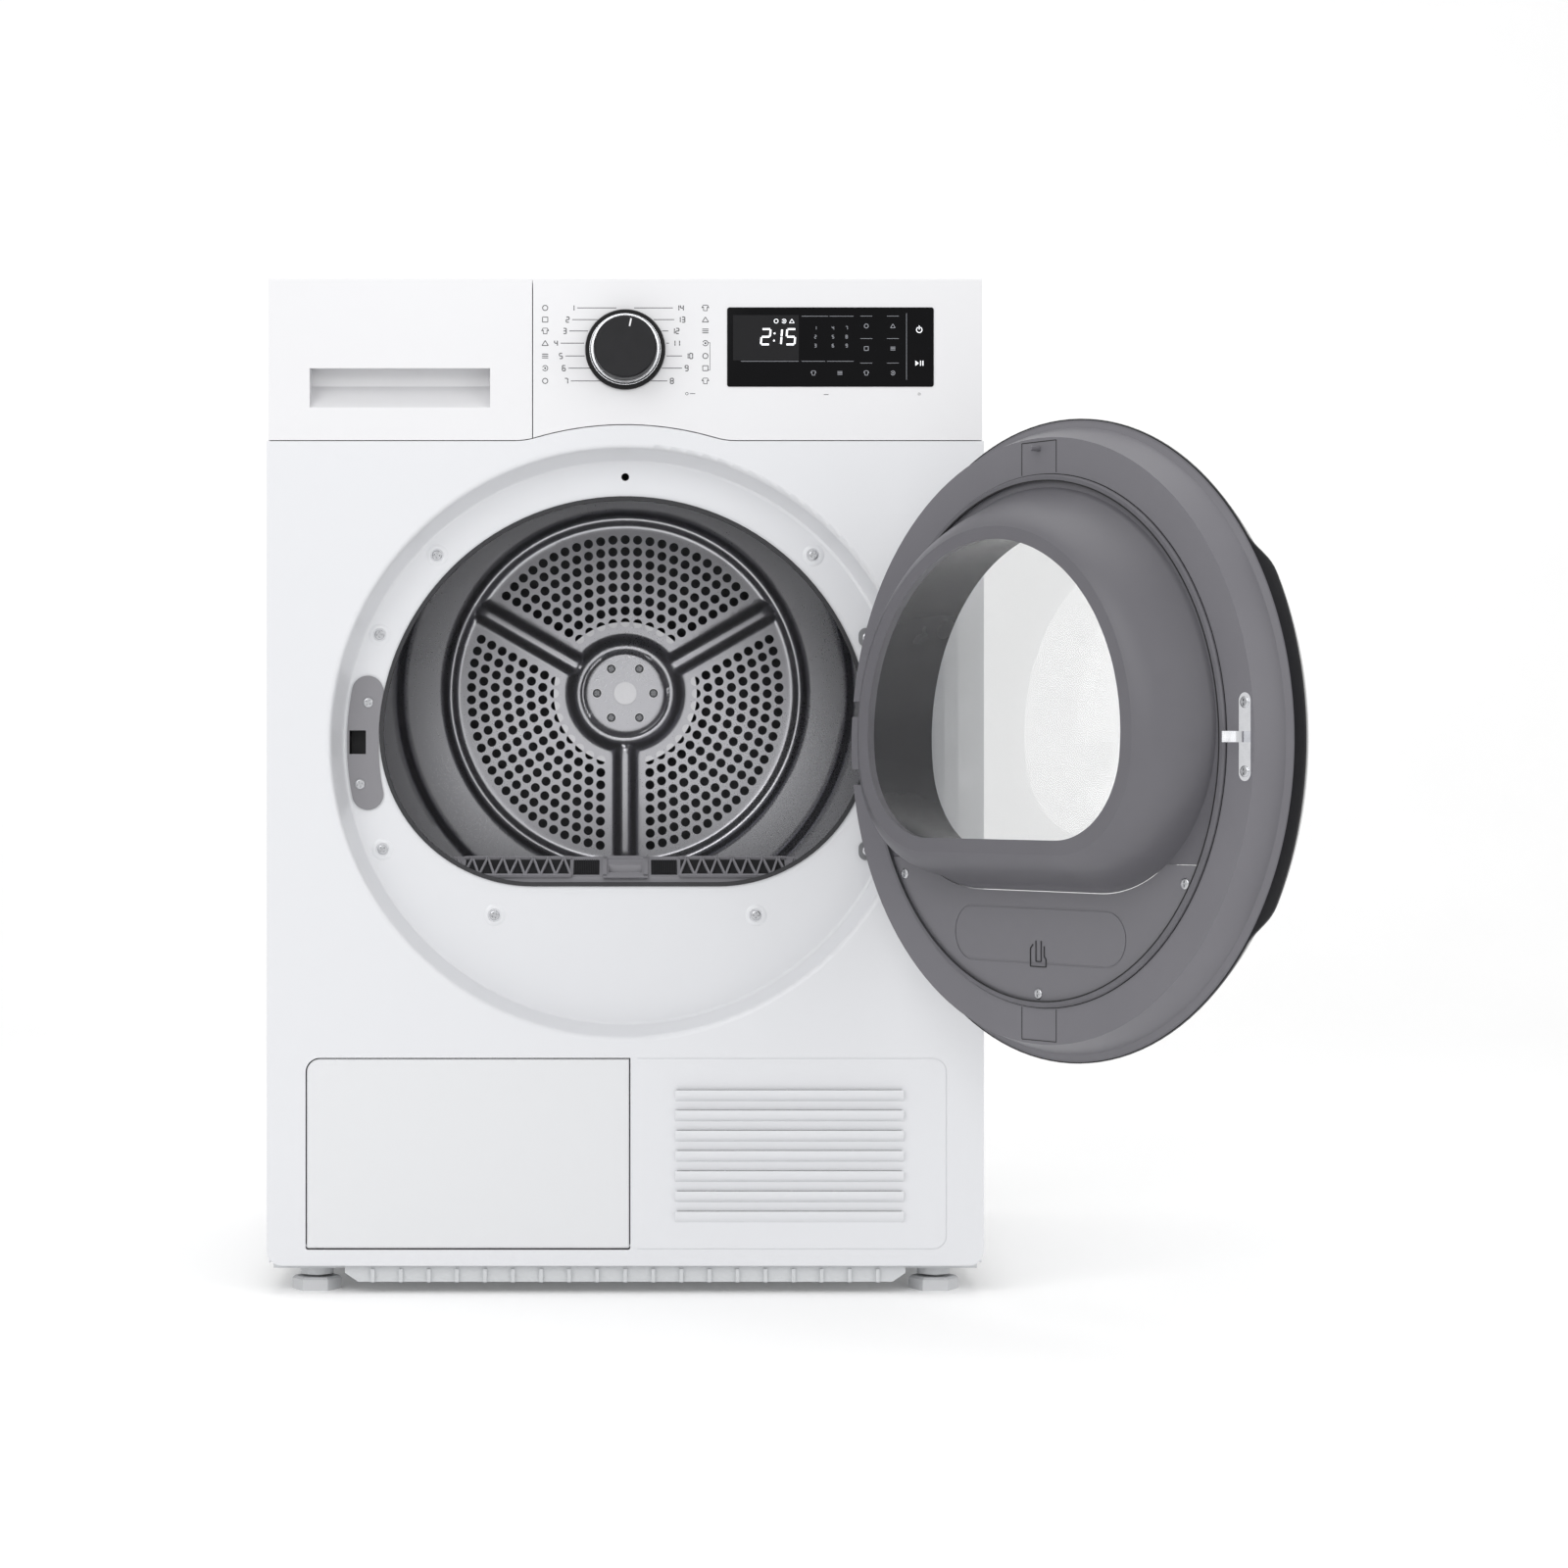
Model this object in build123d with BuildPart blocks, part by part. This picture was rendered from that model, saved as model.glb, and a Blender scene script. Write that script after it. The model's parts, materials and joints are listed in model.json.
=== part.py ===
from build123d import *
import os
from math import acos, atan2, cos, degrees, hypot, radians, sin, sqrt

# Condenser clothes dryer with a side-hung round door, drawn with the door open.
# Millimetres. +X to the right seen from the front, +Y to the rear, +Z up.
# The origin is the point on the floor under the middle of the cabinet.

os.makedirs("parts", exist_ok=True)

# ---------------------------------------------------------------- driving sizes
WIDTH = 600.0            # cabinet, side to side
HEIGHT = 850.0           # floor to top panel
FRONT_Y = -300.0         # front face of the cabinet
REAR_Y = 300.0           # rearmost edge of the top panel
SKIN = 1.5               # pressed sheet of the front panel
SHEET = 1.2              # side and rear sheets
WALL = 2.5               # moulded plastic walls
GAP = 0.8                # visible seams between panels
RUNNING = 0.05           # radial clearance of a shaft in its bore

PANEL_BOTTOM = 23.8      # lower edge of the front panel
PANEL_TOP = 713.6        # its upper edge, beside the hump
RETURN = 18.0            # depth of its folded edge
FASCIA_HALF = 298.5      # the fascia is a little narrower than the panel below it
FASCIA_DEPTH = 28.5
DRAWER_X = -77.5         # seam between the tank drawer and the fascia

DISH_Z = 461.5           # centre of the round dish that the door closes into
DISH_R = 247.0           # dish at the front face
DISH_FLAT_R = 238.0      # dish at its floor
DISH_DEPTH = 30.0
HUMP_R = 265.5           # raised upper edge of the panel, round the dish
HUMP_BLEND = 60.0

CORNER_R = 128.0         # lower corners of the laundry opening
CORNER_X = 78.0
CORNER_Z = 470.0

DRUM_Z = 514.0           # drum axis above the floor
DRUM_R = 286.0           # inside of the drum
DRUM_SHEET = 1.2
DRUM_FRONT = -219.0
DRUM_REAR = 220.0
DRUM_OUT = DRUM_R + DRUM_SHEET
BELT = 3.5               # belt thickness
BELT_Y = -5.0            # middle of the belt
BELT_WIDTH = 9.0

MOTOR_X = 150.0          # motor shaft
MOTOR_Z = 130.0
MOTOR_PULLEY_R = 9.0
IDLER_R = 14.0
ROLLER_R = 30.0
ROLLER_ANGLE = 31.0      # rollers, from straight below the drum axis

HINGE_X = 227.0          # door hinge axis
HINGE_Y = -320.0
DOOR_ANGLE = 124.5       # how far the door stands open
DOOR_Z = 460.5           # middle of the door
DOOR_RIM_Y = -303.0      # rim of the closed door, just clear of the panel
DOOR_R = 249.5
DOOR_HANDLE_R = 259.0    # rim at the handle
DOOR_BACK = -27.0        # flat inner face of the door, behind its rim
SEAL_R = 205.0           # round seal on the inner face
PEG_Z = 225.5            # guide peg, above the middle of the door

FLAP_LEFT = -266.4
FLAP_RIGHT = 3.3
FLAP_LOW = 38.5
FLAP_HIGH = 196.7
FLAP_AXIS_Y = -296.8
FLAP_AXIS_Z = 40.4
BAY_R = 12.0             # rounded corners of the embossed service area

FOOT_X = 261.0
FOOT_Y = 262.0
FOOT_SCREW_R = 5.0

FRONT = Plane(origin=(0, FRONT_Y, 0), x_dir=(1, 0, 0), z_dir=(0, -1, 0))


# ---------------------------------------------------------------- shared shapes
def behind(depth):
    """Plane parallel to the front face and `depth` behind it, x right and y up."""
    return FRONT.offset(-depth)


def block(x, y, z, mode=Mode.ADD):
    """Box between pairs of limits."""
    with Locations(((x[0] + x[1]) / 2, (y[0] + y[1]) / 2, (z[0] + z[1]) / 2)):
        Box(x[1] - x[0], y[1] - y[0], z[1] - z[0], mode=mode)


def ring(plane, outer, inner, length, mode=Mode.ADD):
    """Disc or ring on a plane, drawn out along its normal."""
    with BuildSketch(plane) as circles:
        Circle(outer)
        if inner:
            Circle(inner, mode=Mode.SUBTRACT)
    extrude(circles.sketch, amount=length, mode=mode)


def barrel(x, z, y, outer, inner=0.0, mode=Mode.ADD):
    """Bar or tube lying front to back between two depths."""
    ring(Plane(origin=(x, y[0], z), x_dir=(1, 0, 0), z_dir=(0, 1, 0)), outer, inner, y[1] - y[0], mode)


def post(x, y, z, outer, inner=0.0, mode=Mode.ADD):
    """Upright bar or tube between two heights."""
    ring(Plane(origin=(x, y, z[0])), outer, inner, z[1] - z[0], mode)


def turned(x, z, outline, mode=Mode.ADD):
    """Closed (radius, Y) outline turned about the front-to-back line through x, z."""
    with BuildSketch(Plane(origin=(x, 0, z), x_dir=(1, 0, 0), z_dir=(0, 0, 1))) as half:
        Polygon(*outline, align=None)
    revolve(half.sketch, axis=Axis((x, 0, z), (0, 1, 0)), mode=mode)


def sheet_outline(plane, inset=0.0):
    """Front panel outline: a rectangle with a hump over the dish, its blends hollow."""
    top = PANEL_TOP - inset
    bottom = PANEL_BOTTOM + inset
    with BuildSketch(plane) as sheet:
        with Locations((0, (top + bottom) / 2)):
            Rectangle(WIDTH - 2 * inset, top - bottom)
        fillet(sheet.vertices().group_by(Axis.Y)[0], 13 - inset)
        with Locations((0, DISH_Z)):
            Circle(HUMP_R - inset)
        feet = sheet.vertices().filter_by(lambda v: abs(v.Y - top) < 0.01 and abs(v.X) < HUMP_R / 2)
        fillet(feet, HUMP_BLEND + inset)
    return sheet


def opening_outline(plane, grow=0.0):
    """The laundry opening: a circle whose foot is cut flat between two smaller corners."""
    tilt = degrees(atan2(CORNER_Z - DISH_Z, CORNER_X))
    large = CORNER_R + hypot(CORNER_X, CORNER_Z - DISH_Z) + grow
    small = CORNER_R + grow
    with BuildSketch(plane) as outline:
        with BuildLine():
            CenterArc((0, DISH_Z), large, tilt, 180 - 2 * tilt)
            CenterArc((-CORNER_X, CORNER_Z), small, 180 - tilt, 90 + tilt)
            Line((-CORNER_X, CORNER_Z - small), (CORNER_X, CORNER_Z - small))
            CenterArc((CORNER_X, CORNER_Z), small, 270, 90 + tilt)
        make_face()
    return outline


def rectangle_outline(plane, x, z, radius):
    """Upright rectangle with rounded corners."""
    with BuildSketch(plane) as outline:
        with Locations(((x[0] + x[1]) / 2, (z[0] + z[1]) / 2)):
            RectangleRounded(x[1] - x[0], z[1] - z[0], radius)
    return outline


def fascia_outline(plane, x, inset=0.0):
    """Part of the control strip between two sides, cut to fit over the hump."""
    low = PANEL_TOP - 2 * GAP
    high = HEIGHT - inset
    with BuildSketch(plane) as outline:
        with Locations(((x[0] + x[1]) / 2, (low + high) / 2)):
            Rectangle(x[1] - x[0] - 2 * inset, high - low)
        add(sheet_outline(Plane.XY, -GAP - inset).sketch_local, mode=Mode.SUBTRACT)
    return outline


# ---------------------------------------------------------------- levelling feet
# A hexagonal pad on a screw that turns in a boss of the base.
FOOT_PLACES = {
    "foot_front_left": (-FOOT_X, -FOOT_Y),
    "foot_front_right": (FOOT_X, -FOOT_Y),
    "foot_rear_left": (-FOOT_X, FOOT_Y),
    "foot_rear_right": (FOOT_X, FOOT_Y),
}
FOOT_PAD = 11.0
for name, (foot_x, foot_y) in FOOT_PLACES.items():
    with BuildPart() as foot:
        with BuildSketch(Plane(origin=(foot_x, foot_y, 0))):
            RegularPolygon(21, 6)
        extrude(amount=FOOT_PAD)
        chamfer(foot.edges().group_by(Axis.Z)[-1], 2)
        post(foot_x, foot_y, (FOOT_PAD, 40), FOOT_SCREW_R)
    foot.part.label = name
    export_step(foot.part, f"parts/{name}.step")

# ---------------------------------------------------------------- base tray
# Moulded floor with ribs under its front edge, bosses for the feet, lugs for the flap and
# the air tunnel round the heat exchanger.
BASE_LOW = 19.5
BASE_HIGH = 23.5
BASE_HALF = 296.0
RIB_PITCH = 23.5
RIB_COUNT = 19
LUG_HOLE_R = 1.36
TUNNEL_REAR = -28.0
TUNNEL_HIGH = 202.0
with BuildPart() as base_tray:
    block((-BASE_HALF, BASE_HALF), (-281, 294), (BASE_LOW, BASE_HIGH))
    block((-BASE_HALF, BASE_HALF), (-281, -278), (BASE_HIGH, 34))
    block((-BASE_HALF, -BASE_HALF + 3), (-278, 294), (BASE_HIGH, 60))
    block((BASE_HALF - 3, BASE_HALF), (-278, 294), (BASE_HIGH, 60))
    block((-BASE_HALF + 3, BASE_HALF - 3), (291, 294), (BASE_HIGH, 60))
    with BuildSketch(Plane(origin=(0, -290, 0), x_dir=(1, 0, 0), z_dir=(0, -1, 0))):
        with BuildLine():
            Polyline((-235, BASE_HIGH), (-235, 17), (-224, 9.5), (224, 9.5), (235, 17), (235, BASE_HIGH),
                     close=True)
        make_face()
    extrude(amount=3)
    block((-235, 235), (-290, -281), (BASE_LOW, BASE_HIGH))
    with Locations((0, -294.5, 15)):
        with GridLocations(RIB_PITCH, 1, RIB_COUNT, 1):
            Box(3, 3, 11)
    for foot_x, foot_y in FOOT_PLACES.values():
        post(foot_x, foot_y, (13, BASE_LOW), 14)
        post(foot_x, foot_y, (BASE_HIGH, 42), 14)
    for lug_x in ((-271.5, -268.2), (5.1, 8.4)):
        block(lug_x, (-298.2, -278), (30, 45))
    block((-264, -3), (-276, TUNNEL_REAR), (BASE_HIGH, TUNNEL_HIGH))
    block((-261, -6), (-280, TUNNEL_REAR + 5), (BASE_HIGH, TUNNEL_HIGH - 3), mode=Mode.SUBTRACT)
    block((-141, -9), (-260, -236), (TUNNEL_HIGH - 5, TUNNEL_HIGH + 5), mode=Mode.SUBTRACT)
    for foot_x, foot_y in FOOT_PLACES.values():
        post(foot_x, foot_y, (12, 43), FOOT_SCREW_R + RUNNING, mode=Mode.SUBTRACT)
    with Locations(Location((0, FLAP_AXIS_Y, FLAP_AXIS_Z), (0, 90, 0))):
        Cylinder(LUG_HOLE_R, 620, mode=Mode.SUBTRACT)
base_tray.part.label = "base_tray"
export_step(base_tray.part, "parts/base_tray.step")

# ---------------------------------------------------------------- side, rear and top panels
SIDE_LOW = 24.0
SIDE_HIGH = 831.0
SIDE_FRONT = -281.5
SIDE_REAR = 297.0
FLANGE = 14.0
for name, sign in (("side_panel_left", -1), ("side_panel_right", 1)):
    outer = sign * WIDTH / 2
    inner = sign * (WIDTH / 2 - SHEET)
    fold = sign * (WIDTH / 2 - FLANGE)
    with BuildPart() as side_panel:
        block(sorted((outer, inner)), (SIDE_FRONT, SIDE_REAR), (SIDE_LOW, SIDE_HIGH))
        block(sorted((inner, fold)), (SIDE_FRONT, SIDE_FRONT + SHEET), (60, 705))
        block(sorted((inner, sign * 297)), (SIDE_REAR - SHEET, SIDE_REAR), (SIDE_LOW, SIDE_HIGH))
        block(sorted((inner, fold)), (-266, SIDE_REAR - SHEET), (SIDE_HIGH - SHEET, SIDE_HIGH))
    side_panel.part.label = name
    export_step(side_panel.part, f"parts/{name}.step")

REAR_FRONT = SIDE_REAR
REAR_BACK = REAR_FRONT + SHEET
GLAND_X = 255.0
GLAND_Z = 96.0
SPIGOT_X = -238.0
SPIGOT_Z = 96.0
with BuildPart() as rear_panel:
    block((-298, 298), (REAR_FRONT, REAR_BACK), (SIDE_LOW, SIDE_HIGH))
    turned(0, DRUM_Z, ((196, REAR_FRONT), (190, 295.8), (178.5, 295.8), (178.5, REAR_BACK),
                       (196, REAR_BACK)))
    with Locations((190, REAR_FRONT, 110)):
        with Locations(*[(0, 0, 14 * row) for row in range(8)]):
            Box(60, 8, 4, mode=Mode.SUBTRACT)
    barrel(GLAND_X, GLAND_Z, (REAR_FRONT - 4, REAR_BACK + 4), 9.1, mode=Mode.SUBTRACT)
    barrel(SPIGOT_X, SPIGOT_Z, (REAR_FRONT - 4, REAR_BACK + 4), 9.1, mode=Mode.SUBTRACT)
rear_panel.part.label = "rear_panel"
export_step(rear_panel.part, "parts/rear_panel.step")

TOP_LOW = 832.0
TOP_FRONT = -270.5
with BuildPart() as top_panel:
    block((-WIDTH / 2, WIDTH / 2), (TOP_FRONT, REAR_Y), (TOP_LOW, HEIGHT))
    fillet(top_panel.edges().filter_by(Axis.Z).sort_by(Axis.Y)[-2:], 6)
    fillet(top_panel.edges().group_by(Axis.Z)[-1].sort_by(Axis.Y)[1:], 2)
    block((-290, 290), (TOP_FRONT + 4, REAR_Y - 8), (TOP_LOW, TOP_LOW + 3), mode=Mode.SUBTRACT)
top_panel.part.label = "top_panel"
export_step(top_panel.part, "parts/top_panel.step")

# ---------------------------------------------------------------- front panel
# One pressed sheet: folded edge, round dish, laundry opening, flap bay and louvres.
LOUVRE_X = (41.8, 232.8)
LOUVRE_TOP = 171.0
LOUVRE_PITCH = 16.9
LOUVRE_COUNT = 7
HOOD = 4.2
HOOD_HIGH = 9.5
BAY_RIGHT = 268.0
with BuildPart() as front_panel:
    extrude(sheet_outline(FRONT).sketch, amount=-RETURN)
    extrude(sheet_outline(behind(SKIN), SKIN).sketch, amount=-RETURN, mode=Mode.SUBTRACT)
    floor_y = FRONT_Y + DISH_DEPTH
    turned(0, DISH_Z, ((0, FRONT_Y + 0.1), (DISH_R + 4.5, FRONT_Y + 0.1),
                       (DISH_FLAT_R + 1.6, floor_y + SKIN),
                       (0, floor_y + SKIN)))
    with BuildSketch(Plane(origin=(0, 0, DISH_Z), x_dir=(1, 0, 0), z_dir=(0, 0, 1))) as dish:
        Polygon((0, FRONT_Y - 9), (DISH_R + 15, FRONT_Y - 9), (DISH_R + 15, FRONT_Y), (DISH_R, FRONT_Y),
                (DISH_FLAT_R, floor_y), (0, floor_y), align=None)
        fillet(dish.vertices().filter_by(lambda v: abs(v.X - DISH_R) < 0.01), 5)
        fillet(dish.vertices().filter_by(lambda v: abs(v.X - DISH_FLAT_R) < 0.01), 3)
    revolve(dish.sketch, axis=Axis((0, 0, DISH_Z), (0, 1, 0)), mode=Mode.SUBTRACT)
    extrude(opening_outline(behind(DISH_DEPTH - 5)).sketch, amount=-15, mode=Mode.SUBTRACT)
    with BuildSketch(behind(-5)) as bay:
        with Locations(((FLAP_LEFT + FLAP_RIGHT) / 2, (FLAP_LOW + FLAP_HIGH) / 2 - 0.15)):
            Rectangle(FLAP_RIGHT - FLAP_LEFT + 2, FLAP_HIGH - FLAP_LOW + 2.3)
        fillet(bay.vertices().group_by(Axis.X)[0].sort_by(Axis.Y)[-1], BAY_R)
        fillet(bay.vertices().group_by(Axis.Y)[0], 2)
    extrude(amount=-10, mode=Mode.SUBTRACT)
    with BuildSketch(behind(0.5)) as emboss:
        with Locations(((FLAP_LEFT + BAY_RIGHT) / 2, (FLAP_LOW + FLAP_HIGH) / 2)):
            RectangleRounded(BAY_RIGHT - FLAP_LEFT + 2, FLAP_HIGH - FLAP_LOW + 2, BAY_R)
            RectangleRounded(BAY_RIGHT - FLAP_LEFT + 0.4, FLAP_HIGH - FLAP_LOW + 0.4, BAY_R - 0.8,
                             mode=Mode.SUBTRACT)
        with Locations((FLAP_LEFT / 2, 120)):
            Rectangle(-FLAP_LEFT + 20, 300, mode=Mode.SUBTRACT)
    extrude(amount=2, mode=Mode.SUBTRACT)
    for row in range(LOUVRE_COUNT):
        top = LOUVRE_TOP - row * LOUVRE_PITCH
        with BuildSketch(Plane(origin=(LOUVRE_X[0], 0, 0), x_dir=(0, 1, 0), z_dir=(1, 0, 0))):
            with BuildLine():
                ThreePointArc((FRONT_Y, top - HOOD_HIGH), (FRONT_Y - HOOD * 0.8, top - HOOD_HIGH * 0.5),
                              (FRONT_Y - HOOD, top))
                Polyline((FRONT_Y - HOOD, top), (FRONT_Y + SKIN, top), (FRONT_Y + SKIN, top - HOOD_HIGH),
                         (FRONT_Y, top - HOOD_HIGH))
            make_face()
        extrude(amount=LOUVRE_X[1] - LOUVRE_X[0])
        with BuildSketch(Plane(origin=(LOUVRE_X[0] + SKIN, 0, 0), x_dir=(0, 1, 0), z_dir=(1, 0, 0))):
            with BuildLine():
                ThreePointArc((FRONT_Y + 3, top - HOOD_HIGH + SKIN),
                              (FRONT_Y - HOOD * 0.45, top - HOOD_HIGH * 0.45),
                              (FRONT_Y - HOOD + 1.2, top))
                Polyline((FRONT_Y - HOOD + 1.2, top), (FRONT_Y + 3, top),
                         (FRONT_Y + 3, top - HOOD_HIGH + SKIN))
            make_face()
        extrude(amount=LOUVRE_X[1] - LOUVRE_X[0] - 2 * SKIN, mode=Mode.SUBTRACT)
    barrel(0, DOOR_Z + PEG_Z, (floor_y - 5, floor_y + 5), 3.3, mode=Mode.SUBTRACT)
    block((-234, -218), (floor_y - 5, floor_y + 5), (451, 473), mode=Mode.SUBTRACT)
front_panel.part.label = "front_panel"
export_step(front_panel.part, "parts/front_panel.step")

# ---------------------------------------------------------------- control fascia
# Moulded shell right of the tank drawer, with the knob hole and the display recess.
FASCIA_X = (DRAWER_X + GAP / 2, FASCIA_HALF)
KNOB_Z = 790.0
DISPLAY_X = (85.2, 258.0)
DISPLAY_Z = (759.0, 825.4)
DISPLAY_SEAT = 1.8
with BuildPart() as control_panel:
    extrude(fascia_outline(FRONT, FASCIA_X).sketch, amount=-FASCIA_DEPTH)
    fillet(control_panel.edges().group_by(Axis.Z)[-1].sort_by(Axis.Y)[0], 2)
    extrude(fascia_outline(behind(WALL), FASCIA_X, WALL).sketch, amount=-FASCIA_DEPTH, mode=Mode.SUBTRACT)
    extrude(rectangle_outline(FRONT, DISPLAY_X, DISPLAY_Z, 2).sketch, amount=-DISPLAY_SEAT,
            mode=Mode.SUBTRACT)
    block((110, 240), (FRONT_Y - 1, FRONT_Y + 9), (770, 815), mode=Mode.SUBTRACT)
    barrel(0, KNOB_Z, (FRONT_Y - 1, FRONT_Y + 9), 7, mode=Mode.SUBTRACT)
control_panel.part.label = "control_panel"
export_step(control_panel.part, "parts/control_panel.step")

with BuildPart() as display_window:
    extrude(rectangle_outline(behind(DISPLAY_SEAT), DISPLAY_X, DISPLAY_Z, 2).sketch,
            amount=DISPLAY_SEAT + 0.5)
display_window.part.label = "display_window"
export_step(display_window.part, "parts/display_window.step")

# Circuit board behind the fascia, with the encoder that the knob turns and the display module.
SPINDLE_R = 3.0
BOARD_Y = -283.0
with BuildPart() as control_board:
    block((-60, 285), (BOARD_Y, BOARD_Y + 1.6), (745, 836))
    block((-12, 12), (FRONT_Y + 4, BOARD_Y), (KNOB_Z - 12, KNOB_Z + 12))
    block((112, 238), (FRONT_Y + DISPLAY_SEAT, BOARD_Y), (772, 813))
    block((40, 62), (BOARD_Y + 1.6, -272), (760, 790))
    barrel(0, KNOB_Z, (FRONT_Y, BOARD_Y - 3), SPINDLE_R + RUNNING, mode=Mode.SUBTRACT)
control_board.part.label = "control_board"
export_step(control_board.part, "parts/control_board.step")

# ---------------------------------------------------------------- programme knob
KNOB_FACE = FRONT_Y - 0.5
with BuildPart() as knob_skirt:
    turned(0, KNOB_Z, ((26.7, KNOB_FACE), (33.5, KNOB_FACE), (33.5, KNOB_FACE - 3), (32.5, KNOB_FACE - 4.5),
                       (29.5, KNOB_FACE - 4.5), (28.5, KNOB_FACE - 9), (26.7, KNOB_FACE - 9)))
knob_skirt.part.label = "knob_skirt"
export_step(knob_skirt.part, "parts/knob_skirt.step")

with BuildPart() as knob_cap:
    turned(0, KNOB_Z, ((0, KNOB_FACE - 25), (24.8, KNOB_FACE - 25), (26, KNOB_FACE - 23.8),
                       (26.6, KNOB_FACE),
                       (SPINDLE_R, KNOB_FACE), (SPINDLE_R, BOARD_Y - 3.5), (0, BOARD_Y - 3.5)))
knob_cap.part.label = "knob_cap"
export_step(knob_cap.part, "parts/knob_cap.step")

# ---------------------------------------------------------------- water tank drawer
# Drawer front with an overhung grip, and a tank shaped to pass over the drum.
TANK_X = (-FASCIA_HALF, DRAWER_X - GAP / 2)
GRIP_X = (-264.0, -113.0)
GRIP_Z = (741.8, 774.6)
GRIP_DEEP = FRONT_Y + 24
with BuildPart() as tank_front:
    extrude(fascia_outline(FRONT, TANK_X).sketch, amount=-FASCIA_DEPTH)
    fillet(tank_front.edges().group_by(Axis.Z)[-1].sort_by(Axis.Y)[0], 2)
    extrude(fascia_outline(behind(WALL), TANK_X, WALL).sketch, amount=-FASCIA_DEPTH + 2 * WALL,
            mode=Mode.SUBTRACT)
    block((GRIP_X[0] - WALL, GRIP_X[1] + WALL), (FRONT_Y + 1, GRIP_DEEP + 1),
          (GRIP_Z[0] - WALL, GRIP_Z[1] + 14))
    with BuildSketch(Plane(origin=(GRIP_X[0], 0, 0), x_dir=(0, 1, 0), z_dir=(1, 0, 0))):
        Polygon((FRONT_Y - 1, GRIP_Z[0]), (FRONT_Y + 2, GRIP_Z[0]), (GRIP_DEEP, GRIP_Z[0] + 20),
                (GRIP_DEEP, GRIP_Z[1] + 11), (FRONT_Y + 3, GRIP_Z[1] + 11), (FRONT_Y + 3, GRIP_Z[1]),
                (FRONT_Y - 1, GRIP_Z[1]), align=None)
    extrude(amount=GRIP_X[1] - GRIP_X[0], mode=Mode.SUBTRACT)
tank_front.part.label = "tank_front"
export_step(tank_front.part, "parts/tank_front.step")


def tank_outline(y, grow=0.0):
    """Cross-section of the tank: square corner over a hollow that clears the drum."""
    hollow = 303.0 - grow
    left = -287.0 - grow
    right = -92.0 + grow
    low = 724.0 - grow
    high = 820.0 + grow
    with BuildSketch(Plane(origin=(0, y, 0), x_dir=(1, 0, 0), z_dir=(0, -1, 0))) as outline:
        with Locations(((left + right) / 2, (low + high) / 2)):
            Rectangle(right - left, high - low)
        with Locations((0, DRUM_Z)):
            Circle(hollow, mode=Mode.SUBTRACT)
    return outline


TANK_FRONT = FRONT_Y + FASCIA_DEPTH
TANK_REAR = 226.0
with BuildPart() as water_tank:
    extrude(tank_outline(TANK_REAR).sketch, amount=TANK_REAR - TANK_FRONT)
    extrude(tank_outline(TANK_REAR - 2, -2).sketch, amount=TANK_REAR - TANK_FRONT - 4, mode=Mode.SUBTRACT)
    post(-240, 150, (817, 824), 20)
    post(-240, 150, (810, 830), 12, mode=Mode.SUBTRACT)
water_tank.part.label = "water_tank"
export_step(water_tank.part, "parts/water_tank.step")

SLEEVE_GAP = 1.5
SLEEVE_FRONT = TANK_FRONT + 3
SLEEVE_REAR = TANK_REAR + 6
with BuildPart() as tank_tray:
    extrude(tank_outline(SLEEVE_REAR, SLEEVE_GAP + 2).sketch, amount=SLEEVE_REAR - SLEEVE_FRONT)
    extrude(tank_outline(SLEEVE_REAR - 2, SLEEVE_GAP).sketch, amount=SLEEVE_REAR - SLEEVE_FRONT,
            mode=Mode.SUBTRACT)
    block((-262, -218), (-300, SLEEVE_REAR - 10), (820, 826.5), mode=Mode.SUBTRACT)
tank_tray.part.label = "tank_tray"
export_step(tank_tray.part, "parts/tank_tray.step")

# ---------------------------------------------------------------- front bulkhead
# Moulded wall behind the dish: throat to the drum, roller axles and lint filter duct.
BULKHEAD_FRONT = FRONT_Y + DISH_DEPTH + SKIN
BULKHEAD_BACK = -232.0
THROAT = 3.0
AXLE_R = 4.0
PLATE_R = 276.0
FILTER_X = 138.0
FILTER_LOW = 214.0
FILTER_Y = (-259.0, -237.5)
DUCT_WALL = 2.5
DUCT_Y = (FILTER_Y[0] - 4, FILTER_Y[1] + 5.5)
ROLLER_REACH = DRUM_OUT + 0.3 + ROLLER_R
ROLLER_X = ROLLER_REACH * sin(radians(ROLLER_ANGLE))
ROLLER_Z = DRUM_Z - ROLLER_REACH * cos(radians(ROLLER_ANGLE))
ROLLER_Y = (-212.0, -190.0)
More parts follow.
